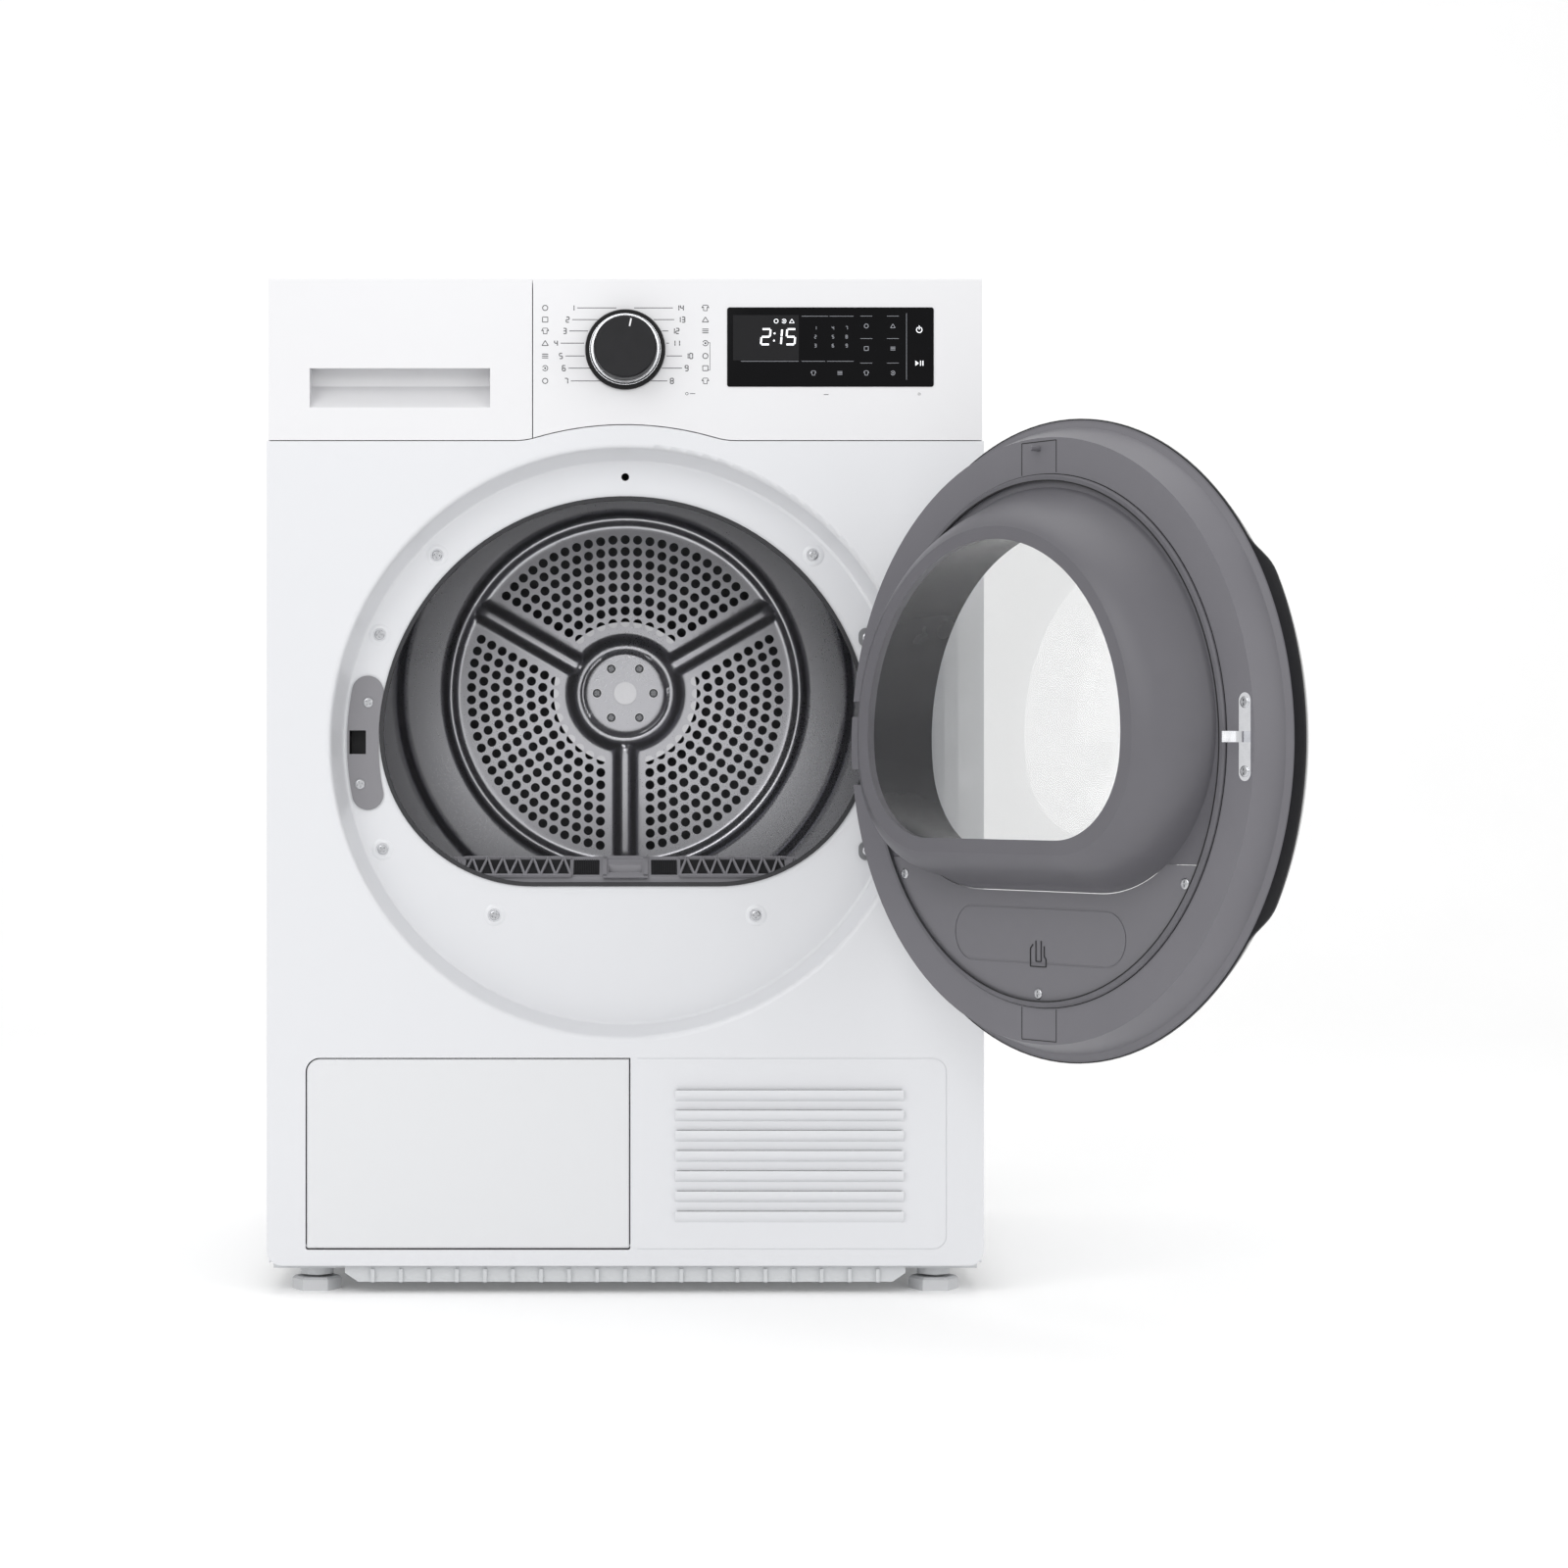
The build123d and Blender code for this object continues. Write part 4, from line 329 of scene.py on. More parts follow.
holes = []
for ring in range(8):
    ring_r = 150.6 - 11.6 * ring
    for number in range(-(11 - ring), 12 - ring):
        for middle in (90, 210, 330):
            turn = math.radians(middle) + number * 12.1 / ring_r
            holes.append((ring_r * math.cos(turn), ring_r * math.sin(turn)))
holes = np.array(holes)
spots = []
ring_radii = np.concatenate((np.arange(1.5, 38, 3.0), np.arange(38, 60, 1.3), np.arange(60, 162, 3.4),
                             np.arange(161, 183, 1.3), np.arange(182, 214, 5), np.arange(215, 227, 1.4),
                             np.arange(230, WALL_R, 9)))
for radius in ring_radii:
    count = max(8, int(2 * math.pi * radius / 3.6))
    turns = np.linspace(0, 2 * math.pi, count, endpoint=False) + radius
    spots.append(np.column_stack((radius * np.cos(turns), radius * np.sin(turns))))
spots = np.concatenate(spots)
kept = np.ones(len(spots), bool)
rows = []
for turn in SPOKES:
    along_spoke = np.array((math.cos(math.radians(turn)), math.sin(math.radians(turn))))
    across_spoke = np.array((-along_spoke[1], along_spoke[0]))
    on_spoke = (spots @ along_spoke > 59) & (spots @ along_spoke < 160)
    kept &= ~(on_spoke & (np.abs(spots @ across_spoke) < SPOKE_HALF + 1.5))
    for across in np.linspace(-SPOKE_HALF, SPOKE_HALF, 15):
        rows += [along * along_spoke + across * across_spoke for along in np.arange(60.5, 159, 3.0)]
spots = np.concatenate((spots[kept], np.array(rows)))
gap = np.min(np.hypot(spots[:, None, 0] - holes[None, :, 0], spots[:, None, 1] - holes[None, :, 1]), axis=1)
spots = spots[gap > HOLE_R + 1.0]
brim = np.linspace(0, 2 * math.pi, 14, endpoint=False)
brims = (holes[:, None, :] + HOLE_R * np.column_stack((np.cos(brim), np.sin(brim)))[None]).reshape(-1, 2)
turns = np.linspace(0, 2 * math.pi, 240, endpoint=False)
outside = WALL_R * np.column_stack((np.cos(turns), np.sin(turns)))
flat = np.concatenate((spots, brims, outside))
mesh_2d = delaunay_2d_cdt([Vector(p) for p in flat], [], [], 0, 1e-4)
flat = np.array([tuple(p) for p in mesh_2d[0]])
faces = []
for face in mesh_2d[2]:
    middle = flat[list(face)].mean(axis=0)
    if np.min(np.hypot(*(holes - middle).T)) > HOLE_R * 0.96:
        faces.append(list(face))


def sheet_of(flat, faces, depth, thick):
    """A pressed sheet: the front surface, its back, and the cut edges between them."""
    count = len(flat)
    points = [(x, y, z + DRUM_Z) for (x, z), y in zip(flat, depth)]
    points += [(x, y + thick, z) for x, y, z in points]
    borders = {}
    for face in faces:
        for a, b in zip(face, face[1:] + face[:1]):
            borders[(a, b)] = borders.get((a, b), 0) + 1
    sides = [[b, a, a + count, b + count] for a, b in borders if (b, a) not in borders]
    back = [[i + count for i in reversed(face)] for face in faces]
    return points, faces + back + sides


points, faces = sheet_of(flat, faces, wall_depth(flat[:, 0], flat[:, 1]), 1.0)
wall_steel = metal("wall_stainless", tone(226, 226, 231), 0.3, (1, 1, 1), 800, 0.000001, 0.8)
drum_wall = make("drum_wall", points, faces, wall_steel, "drum", "drum_rear_wall")
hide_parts("drum_rear_wall")

# Felt rings, drum bearing and the moulded bulkhead: felt closes the running gap at both rims of
# the drum, the shaft turns in a sleeve at the rear, and the bulkhead leads air down to the filter.
felt = Finish("wool_felt", Roughness=0.95)
fibre = felt.grain(1400, 5)
felt.set("Base Color", felt.mix(fibre, tone(150, 146, 134), tone(206, 202, 190)))
felt.emboss(fibre, 0.9, 0.0004)
dress("drum_seals", felt.material)
dress("rear_bearing", metal("bearing_casting", tone(112, 113, 116), 0.5, scale=480, depth=0.0002))
dress("front_bulkhead", moulded("bulkhead_grey", tone(150, 151, 155), 0.5))
dress("opening_gasket", rubber("gasket_black", tone(40, 40, 43), 0.6))

# Lint filter: a moulded crescent that sits in the foot of the opening, with barred intakes left
# and right, two brush strips and a finger grip in the middle. The bag of mesh hangs below it.
filter_grey = moulded("filter_grey", tone(146, 145, 150), 0.45)
dress("lint_filter", filter_grey)
# The near-black sheets under the bars and in the small windows are painted shadow for the dark inside of the
# intakes.
intake_painted_shadow = moulded("filter_shadow", tone(24, 24, 27), 0.8)
brush_dark = moulded("brush_dark", tone(52, 52, 55), 0.8)
FILTER_EDGE = (-262, 346.5)
FILTER_SLOPE = math.atan2(18, 36)
TRUSS_FOOT = 3
TRUSS_HEAD = 35
TRUSS_START = 46
TRUSS_PITCH = 13
TRUSS_END = 137


def on_filter(x, up, out):
    """Point on the sloping face of the crescent: `up` climbs to the rear, `out` stands off it."""
    deep = FILTER_EDGE[0] + up * math.cos(FILTER_SLOPE) - out * math.sin(FILTER_SLOPE)
    high = FILTER_EDGE[1] + up * math.sin(FILTER_SLOPE) + out * math.cos(FILTER_SLOPE)
    return (x, deep, high)


def bar(start, end, width, low, high, place=on_filter):
    """A straight bar between two points of a face, as eight corners and six sides."""
    along = Vector(end) - Vector(start)
    side = Vector((-along.y, along.x)).normalized() * width / 2
    corners = [Vector(start) - side, Vector(end) - side, Vector(end) + side, Vector(start) + side]
    points = [place(c.x, c.y, out) for out in (low, high) for c in corners]
    return points, [[0, 1, 2, 3], [7, 6, 5, 4], [0, 4, 5, 1], [1, 5, 6, 2], [2, 6, 7, 3], [3, 7, 4, 0]]


def gather(parts):
    """Join several (points, faces) lists into one."""
    points, faces = [], []
    for some, sides in parts:
        faces += [[i + len(points) for i in side] for side in sides]
        points += some
    return points, faces


for name, sign in (("left", -1), ("right", 1)):
    bed = [bar((sign * 47, 19), (sign * 136, 19), 32, 0.05, 0.35)]
    make("filter_shadow_bed_" + name, *gather(bed), intake_painted_shadow, "lint_filter", "lint_filter", smooth=False)
    ribs = [bar((sign * TRUSS_START, up), (sign * TRUSS_END, up), 2.4, 0.1, 2.6)
            for up in (TRUSS_FOOT, TRUSS_HEAD)]
    for number in range(8):
        foot = sign * (TRUSS_START + TRUSS_PITCH * number)
        head = foot + sign * TRUSS_PITCH / 2
        ribs.append(bar((foot, TRUSS_FOOT), (head, TRUSS_HEAD), 1.8, 0.1, 2.4))
        if number < 7:
            ribs.append(bar((head, TRUSS_HEAD), (foot + sign * TRUSS_PITCH, TRUSS_FOOT), 1.8, 0.1, 2.4))
    make("filter_bars_" + name, *gather(ribs), filter_grey, "lint_filter", "lint_filter", smooth=False)
    window = [bar((sign * 22, 20), (sign * 44, 20), 26, 0.05, 0.4)]
    make("filter_shadow_window_" + name, *gather(window), intake_painted_shadow, "lint_filter", "lint_filter", smooth=False)
    tufts = [sign * (23.5 + 1.5 * n) for n in range(14)]
    brush = [bar((x, 8), (x, 32), 0.5, 0.3, 1.6) for x in tufts]
    make("filter_brush_" + name, *gather(brush), brush_dark, "lint_filter", "lint_filter", smooth=False)
grip = [bar((-19, 3), (19, 3), 5, 0.1, 1.2), bar((-19, 37), (19, 37), 5, 0.1, 1.2),
        bar((-17.5, 3), (-17.5, 37), 4, 0.1, 1.2), bar((17.5, 3), (17.5, 37), 4, 0.1, 1.2)]
make("filter_grip", *gather(grip), filter_grey, "lint_filter", "lint_filter", smooth=False)

# Front panel: one pressed and enamelled sheet with the round dish, the louvres and the bay for the
# service flap. The flap is a white moulding hung on two pins at its lower edge.
front_white = enamelled("front_white", tone(218, 219, 222), 0.33)
dress("front_panel", front_white)
dress("access_flap", enamelled("flap_white", tone(217, 218, 220), 0.38, 0.00003, 0.15))

# Door catch and hinge: a grey moulded plate over the lock, and a plain steel bracket whose two
# bent arms hold the hinge pin. Both are screwed to the dish.
dress("lock_plate", moulded("lock_grey", tone(130, 129, 133), 0.42))
dress("door_lock", dark_plastic)
hinge_steel = metal("hinge_steel", tone(160, 161, 164), 0.34, scale=340)
for node in ("hinge_bracket", "hinge_leaf"):
    dress(node, hinge_steel)

# Screws: zinc-plated pan heads with a cross recess, turned and cold-formed. Those on the rear
# sheet are the same.
SCREW_R = 4.2
RECESS = 0.62


def screw_head(seat, out, across):
    """One pan head on a seat point; `out` points away from the sheet, `across` lies in it."""
    out = Vector(out).normalized()
    across = Vector(across).normalized()
    up = out.cross(across)
    arm = SCREW_R * RECESS
    half = 0.55
    cross = [(half, half), (half, arm), (-half, arm), (-half, half), (-arm, half), (-arm, -half),
             (-half, -half), (-half, -arm), (half, -arm), (half, -half), (arm, -half), (arm, half)]
    steps = 36
    rings = [(SCREW_R, 0.0), (SCREW_R, 0.5), (SCREW_R * 0.93, 0.9), (SCREW_R * 0.80, 1.15),
             (SCREW_R * 0.70, 1.25)]
    local = [(r * math.cos(2 * math.pi * i / steps), r * math.sin(2 * math.pi * i / steps), h)
             for r, h in rings for i in range(steps)]
    faces = [[r * steps + i, r * steps + (i + 1) % steps, (r + 1) * steps + (i + 1) % steps,
              (r + 1) * steps + i] for r in range(len(rings) - 1) for i in range(steps)]
    rim = [Vector(p[:2]) for p in local[-steps:]]
    top = delaunay_2d_cdt(rim + [Vector(c) for c in cross],
                          [(i, (i + 1) % steps) for i in range(steps)]
                          + [(steps + i, steps + (i + 1) % 12) for i in range(12)], [], 0, 1e-5)
    first = len(local)
    local += [(p.x, p.y, 1.27) for p in top[0]]
    for face in top[2]:
        middle = sum((top[0][i] for i in face), Vector((0, 0))) / len(face)
        inside = ((abs(middle.x) < half and abs(middle.y) < arm)
                  or (abs(middle.y) < half and abs(middle.x) < arm))
        if not inside:
            faces.append([first + i for i in face])
    foot = len(local)
    local += [(x, y, 1.27) for x, y in cross] + [(x * 0.72, y * 0.72, 0.3) for x, y in cross]
    faces += [[foot + i, foot + (i + 1) % 12, foot + 12 + (i + 1) % 12, foot + 12 + i] for i in range(12)]
    faces.append([foot + 12 + i for i in range(12)])
    points = [tuple(Vector(seat) + across * x + up * y + out * z) for x, y, z in local]
    return points, faces


def solids_of(node):
    """Boxes, in millimetres, of the separate solids of one CAD piece."""
    shell = bmesh.new()
    shell.from_mesh(frame["nodes"][node].data)
    bmesh.ops.remove_doubles(shell, verts=shell.verts, dist=1e-6)
    left = set(shell.verts)
    boxes = []
    while left:
        stack = [left.pop()]
        island = []
        while stack:
            vertex = stack.pop()
            island.append(vertex.co / MM)
            for edge in vertex.link_edges:
                other = edge.other_vert(vertex)
                if other in left:
                    left.remove(other)
                    stack.append(other)
        boxes.append((Vector(map(min, zip(*island))), Vector(map(max, zip(*island)))))
    shell.free()
    return sorted(boxes, key=lambda b: tuple(round(c, 2) for c in b[0]))


screw_zinc = metal("screw_zinc", tone(196, 197, 200), 0.28, scale=700)
heads = []
for number, (low, high) in enumerate(solids_of("cabinet_screws")):
    middle = (low + high) / 2
    turn = math.radians(37 * number)
    across = (math.cos(turn), 0, math.sin(turn))
    if middle.y > 0:
        heads.append(screw_head((middle.x, low.y, middle.z), (0, 1, 0), across))
    else:
        heads.append(screw_head((middle.x, high.y, middle.z), (0, -1, 0), across))
screws = make("cabinet_screw_heads", *gather(heads), screw_zinc, "cabinet", "cabinet_screws")
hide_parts("cabinet_screws")


def hoop(profile, place, steps=72):
    """A ring turned from a closed profile of (radius, height) points; `place` sets it down."""
    turns = [2 * math.pi * i / steps for i in range(steps)]
    points = [place(r * math.cos(t), r * math.sin(t), out) for r, out in profile for t in turns]
    rows = len(profile)
    faces = [[k * steps + i, k * steps + (i + 1) % steps, (k + 1) % rows * steps + (i + 1) % steps,
              (k + 1) % rows * steps + i] for k in range(rows) for i in range(steps)]
    return points, faces


BOSS = ((9.4, -0.1), (8.6, 0.25), (7.2, 0.8), (5.6, 0.85), (5.2, 0.1), (5.2, -0.1))
plates = [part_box("lock_plate"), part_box("hinge_bracket")]
bosses = []
for low, high in solids_of("cabinet_screws"):
    middle = (low + high) / 2
    held = any(a.x / MM < middle.x < b.x / MM and a.z / MM < middle.z < b.z / MM for a, b in plates)
    if middle.y < 0 and not held:
        bosses.append(hoop(BOSS, lambda x, z, out: (middle.x + x, high.y - out, middle.z + z), 40))
make("dish_bosses", *gather(bosses), front_white, "cabinet", "front_panel")

bolt_steel = metal("bolt_steel", tone(150, 151, 154), 0.3, scale=900)
dome_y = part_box("drum_hub")[0].y / MM
bolts = []
for number in range(6):
    turn = math.radians(60 * number)
    seat = (27.5 * math.cos(turn), dome_y + 1.0, DRUM_Z + 27.5 * math.sin(turn))
    bolts.append(screw_head(seat, (0, -1, 0), (math.cos(turn), 0, math.sin(turn))))
make("hub_bolts", *gather(bolts), bolt_steel, "drum", "drum_hub")

# Control strip: a white moulded shell printed with a ring of programme marks. Board and encoder
# sit behind it; the knob is a black spun cap in a bright ring on a black skirt.
FRONT_Y = -300.0
KNOB = (0.0, 790.0)
strip_white = moulded("strip_white", tone(222, 222, 224), 0.32, 0.00001, 2200, 0.012, Coat_Weight=0.2,
                      Coat_Roughness=0.2)
dress("control_panel", strip_white)
board = Finish("board_green", Roughness=0.4)
tracks = board.node("ShaderNodeTexBrick", {"offset": 0.5},
                    {"Vector": board.place, "Scale": 90.0, "Mortar Size": 0.03, "Color1": tone(16, 74, 40),
                     "Color2": tone(20, 92, 48), "Mortar": tone(120, 150, 80)})
board.set("Base Color", tracks)
dress("control_board", board.material)

spun = Finish("knob_black", Metallic=0.4, Specular_IOR_Level=0.3)
offset_z = spun.part(2) - KNOB[1] * MM
offset_x = spun.part(0) - KNOB[0] * MM
from_axis = (offset_x * offset_x + offset_z * offset_z) ** 0.5
rings = spun.node("ShaderNodeMath", {"operation": "SINE"}, {0: from_axis * (2 * math.pi / 0.0006)})
spun.set("Base Color", spun.mix(spun.grain(60, 3), tone(26, 26, 28), tone(36, 36, 38)))
spun.set("Roughness", spun.grain(900, 2) * 0.1 + 0.30)
spun.emboss(rings, 0.25, 0.00001)
dress("knob_cap", spun.material)

skirt = Finish("knob_ring", Specular_IOR_Level=0.2)
offset_z = skirt.part(2) - KNOB[1] * MM
offset_x = skirt.part(0) - KNOB[0] * MM
outer = (offset_x * offset_x + offset_z * offset_z) ** 0.5 > 0.0298
skirt.set("Base Color", skirt.mix(outer, tone(206, 207, 210), tone(12, 12, 13)))
skirt.set("Metallic", 1.0 - outer)
skirt.set("Roughness", skirt.grain(700, 2) * 0.08 + outer * 0.15 + 0.16)
dress("knob_skirt", skirt.material)


def plain_ink(name, colour, roughness=0.5, glow=0.0):
    """Printed ink or a lit segment: a thin film, a little uneven where the screen held back."""
    finish = Finish(name, Emission_Strength=glow, Specular_IOR_Level=0.2)
    speck = finish.grain(3000, 2)
    finish.set("Base Color", finish.mix(speck, darker(colour, 0.9), colour))
    if glow:
        finish.set("Emission Color", colour)
    finish.set("Roughness", speck * 0.1 + roughness)
    return finish.material


def on_strip(lift):
    """Place points of the strip's face: x, height above the floor, and how far they stand proud."""
    return lambda x, z, out: (x, FRONT_Y - lift - out, z)


def ribbon(points, width, place, thick=0.06):
    """A printed line through several points."""
    parts = [bar(a, b, width, 0, thick, place) for a, b in zip(points, points[1:])]
    return gather(parts)


def disc(x, z, radius, place, hole=0.0, thick=0.06, steps=32, start=0.0, end=360.0):
    """A printed disc, ring or arc."""
    turns = [math.radians(start + (end - start) * i / steps) for i in range(steps + 1)]
    points = []
    for r in (radius, hole):
        for out in (0.0, thick):
            points += [place(x + r * math.cos(t), z + r * math.sin(t), out) for t in turns]
    row = steps + 1
    faces = []
    for i in range(steps):
        faces.append([row + i, row + i + 1, 3 * row + i + 1, 3 * row + i])
        faces.append([i, i + 1, row + i + 1, row + i])
    return points, faces


def plate(outline, place, thick=0.06):
    """A printed patch with straight edges, filled."""
    count = len(outline)
    points = [place(x, z, 0.0) for x, z in outline] + [place(x, z, thick) for x, z in outline]
    faces = [[count + i for i in range(count)]]
    faces += [[i, (i + 1) % count, count + (i + 1) % count, count + i] for i in range(count)]
    return points, faces


def figure(digit, x, z, high, place, stroke=0.16, slant=0.08):
    """One seven-bar figure with its lower left corner at x, z."""
    wide = high * 0.56
    lit = {"0": "abcdef", "1": "bc", "2": "abged", "3": "abgcd", "4": "fgbc", "5": "afgcd", "6": "afgedc",
           "7": "abc", "8": "abcdefg", "9": "abcdfg"}[digit]
    ends = {"a": ((0, 1), (1, 1)), "b": ((1, 1), (1, 0.5)), "c": ((1, 0.5), (1, 0)), "d": ((0, 0), (1, 0)),
            "e": ((0, 0.5), (0, 0)), "f": ((0, 1), (0, 0.5)), "g": ((0, 0.5), (1, 0.5))}
    parts = []
    for name in lit:
        (x0, z0), (x1, z1) = ends[name]
        start = (x + x0 * wide + z0 * high * slant, z + z0 * high)
        end = (x + x1 * wide + z1 * high * slant, z + z1 * high)
        trim = 0.06
        a = tuple(s + (e - s) * trim for s, e in zip(start, end))
        b = tuple(e + (s - e) * trim for s, e in zip(start, end))
        parts.append(bar(a, b, high * stroke, 0, 0.05, place))
    return gather(parts)


FIGURE_PITCH = 0.86


def figures(text, x, z, high, place, stroke=0.16):
    """A row of upright figures."""
    return gather([figure(digit, x + i * high * FIGURE_PITCH, z, high, place, stroke, 0.0)
                   for i, digit in enumerate(text)])


face = on_strip(0.0)
grey_ink = plain_ink("grey_ink", tone(46, 47, 50))
ROWS = (825.0, 815.2, 805.7, 795.5, 784.8, 774.6, 763.9)
LEFT_LEADS = ((-7.4, -40.2), (-23.0, -44.3), (-31.1, -46.7), (-34.4, -54.1), (-34.0, -50.0), (-29.5, -47.5),
              (-20.5, -45.5))
RIGHT_LEADS = ((7.4, 39.8), (23.8, 41.0), (30.7, 36.1), (34.4, 36.6), (34.4, 47.5), (30.7, 47.5),
               (21.3, 35.2))
FIGURE = 4.4
MARK_X = 67.0


def fabric_mark(kind, x, z, place, size=1.0):
    """Small generic mark of a kind of load: ring, square, shirt, sheet, bars or eye."""
    near = lambda a, b, out: place(x + a * size, z + b * size, out)
    if kind == 0:
        return disc(0, 0, 1.9, near, 1.4)
    if kind == 1:
        return ribbon([(-1.7, -1.6), (1.7, -1.6), (1.7, 1.6), (-1.7, 1.6), (-1.7, -1.6)], 0.45, near)
    if kind == 2:
        return ribbon([(-1.2, -1.8), (-1.2, 0.6), (-2.3, 0), (-1.4, 1.8), (1.4, 1.8), (2.3, 0), (1.2, 0.6),
                       (1.2, -1.8), (-1.2, -1.8)], 0.4, near)
    if kind == 3:
        return ribbon([(-2, -1.5), (0, 1.7), (2, -1.5), (-2, -1.5)], 0.45, near)
    if kind == 4:
        return gather([ribbon([(-2, level), (2, level)], 0.5, near) for level in (-1.2, 0, 1.2)])
    return gather([disc(0, 0, 1.9, near, 1.45, start=200, end=520), disc(0, 0, 0.6, near)])


for name, leads, sign in (("left", LEFT_LEADS, -1), ("right", RIGHT_LEADS, 1)):
    parts = []
    for row, (z, (start, end)) in enumerate(zip(ROWS, leads)):
        parts.append(ribbon([(start, z), (end, z)], 0.55, face))
        text = str(row + 1 if sign < 0 else 14 - row)
        wide = FIGURE * (FIGURE_PITCH * len(text) - 0.3)
        first = end + 2.6 if sign > 0 else end - 2.6 - wide
        parts.append(figures(text, first, z - FIGURE / 2, FIGURE, face, 0.17))
        parts.append(fabric_mark((row + (sign > 0) * 2) % 6, sign * MARK_X, z, face, 1.3))
    make("dial_marks_" + name, *gather(parts), grey_ink, "cabinet", "display_window", smooth=False)
small = [ribbon([(70.9, 773.0), (70.9, 795.9)], 0.35, face),
         ribbon([(69.3, 773.0), (70.9, 773.0)], 0.35, face),
         ribbon([(69.3, 795.9), (70.9, 795.9)], 0.35, face), disc(51.5, 753.3, 1.3, face, 0.9),
         ribbon([(54.0, 753.3), (58.5, 753.3)], 0.5, face), disc(245.9, 753.0, 1.1, face, 0.75),
         ribbon([(166, 752.5), (170, 752.5)], 0.5, face)]
make("strip_notes", *gather(small), grey_ink, "cabinet", "display_window", smooth=False)

pointer_tilt = math.radians(12)
cap_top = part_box("knob_cap")[0].y / MM
pointer_start = (KNOB[0] + 17 * math.sin(pointer_tilt), KNOB[1] + 17 * math.cos(pointer_tilt))
pointer_end = (KNOB[0] + 23.6 * math.sin(pointer_tilt), KNOB[1] + 23.6 * math.cos(pointer_tilt))
pointer = bar(pointer_start, pointer_end, 1.3, 0, 0.05, lambda x, z, out: (x, cap_top + 0.02 - out, z))
make("knob_pointer", *pointer, plain_ink("pointer_white", tone(236, 236, 238)), "knob", "knob_cap",
     smooth=False)

# Display window: a gloss black acrylic pane stuck in the strip. Behind its face are a small lit
# panel with the time left, dimmer touch marks, and the start and power marks at the right.
gloss = Finish("display_black", Specular_IOR_Level=0.12, Coat_Roughness=0.03, Coat_Weight=0.06)
smear = gloss.grain(30, 3)
gloss.set("Base Color", gloss.mix(smear, tone(2, 2, 4), tone(5, 5, 7)))
gloss.set("Roughness", smear * 0.06 + 0.04)
dress("display_window", gloss.material)
glass_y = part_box("display_window")[0].y / MM
pane = lambda x, z, out: (x, glass_y - 0.01 - out, z)
panel = plate([(90.2, 781.1), (145.1, 781.1), (145.1, 818.9), (90.2, 818.9)], pane, 0.03)
make("time_panel", *panel, plain_ink("panel_dark", tone(26, 26, 28), 0.6), "cabinet", "display_window",
     smooth=False)
above = lambda x, z, out: (x, glass_y - 0.05 - out, z)
lit = plain_ink("lit_white", tone(238, 240, 244), 0.4, 0.9)
TIME_FOOT = 794.4
TIME_HIGH = 12.8
time_left = [figure(digit, x, TIME_FOOT, TIME_HIGH, above, 0.12)
             for digit, x in (("2", 113.4), ("1", 123.0), ("5", 134.4))]
time_left += [disc(124.9, 803.6, 0.8, above), disc(124.4, 797.6, 0.8, above)]
time_left += [fabric_mark(kind, x, 813.9, above) for kind, x in ((0, 126.2), (5, 132.8), (3, 139.3))]
make("time_left", *gather(time_left), lit, "cabinet", "display_window", smooth=False)
dim = plain_ink("dim_white", tone(150, 152, 158), 0.4, 0.25)
marks = [ribbon([(a, 818.0), (b, 818.0)], 0.3, pane) for a, b in ((147.5, 169.7), (170.9, 191.0))]
marks += [ribbon([(a, 780.3), (b, 780.3)], 0.3, pane)
          for a, b in ((96.7, 145.0), (147.5, 167.2), (168.9, 191.0))]
for column, x in enumerate((158.3, 173.0, 184.4)):
    for row, z in enumerate((806.9, 799.5, 792.1)):
        marks.append(figures(str(3 * column + row + 1), x, z, 2.6, pane))
marks += [fabric_mark(kind, x, 770.5, pane) for kind, x in ((2, 157.4), (4, 179.5))]
for column, x in enumerate((201.6, 223.8)):
    for row, z in enumerate((809.8, 791.0, 770.5)):
        marks.append(fabric_mark(column * 3 + row, x, z, pane))
        marks.append(ribbon([(x - 5, z + 8.3), (x + 5, z + 8.3)], 0.3, pane))
marks.append(ribbon([(235.2, 764.8), (235.2, 820.5)], 0.3, pane))
make("touch_marks", *gather(marks), dim, "cabinet", "display_window", smooth=False)
keys = [disc(245.9, 806.6, 2.6, pane, 2.0, start=115, end=425),
        ribbon([(245.9, 806.8), (245.9, 810.2)], 0.6, pane),
        plate([(242.7, 776.5), (245.5, 778.7), (242.7, 780.9)], pane)]
keys += [ribbon([(x, 776.6), (x, 780.8)], 0.7, pane) for x in (247.0, 249.0)]
make("start_marks", *gather(keys), lit, "cabinet", "display_window", smooth=False)

# Tank drawer: a white moulded front with an overhung grip, glued to a blown tank of natural
# plastic that slides in a grey tray over the drum.
dress("tank_front", strip_white)
dress("tank_tray", moulded("tray_dark", tone(128, 130, 134), 0.5))
natural = Finish("natural_plastic", Transmission_Weight=0.35, IOR=1.49)
haze = natural.grain(22, 3)
natural.set("Base Color", natural.mix(haze, tone(206, 214, 218), tone(232, 238, 240)))
natural.set("Roughness", haze * 0.15 + 0.35)
natural.emboss(natural.grain(130), 0.3, 0.0001)
dress("water_tank", natural.material)

# Door: a gloss black outer ring and domed pane, a grey inner ring with a finger scoop, and a dark grey
# throat moulding with painted shade inside its mouth, which carries the inner pane. A steel leaf and a
# die-cast hook fix it to the front.
hinge = next(joint for joint in frame["joints"] if joint["name"] == "door_hinge")
swing = math.radians(-hinge["range_deg"][0])
pin = Matrix.Translation(hinge["pos_m"])
DOOR_OPEN = pin @ Matrix.Rotation(swing, 4, "Z") @ pin.inverted()
RIM_Y = -303.0
DOOR_Z = 460.5
FACE = -27.0


def on_door(across, up, out):
    """Point of the closed door: across to the hinge, up and outward from the rim's middle."""
    return (across, RIM_Y - out, DOOR_Z + up)


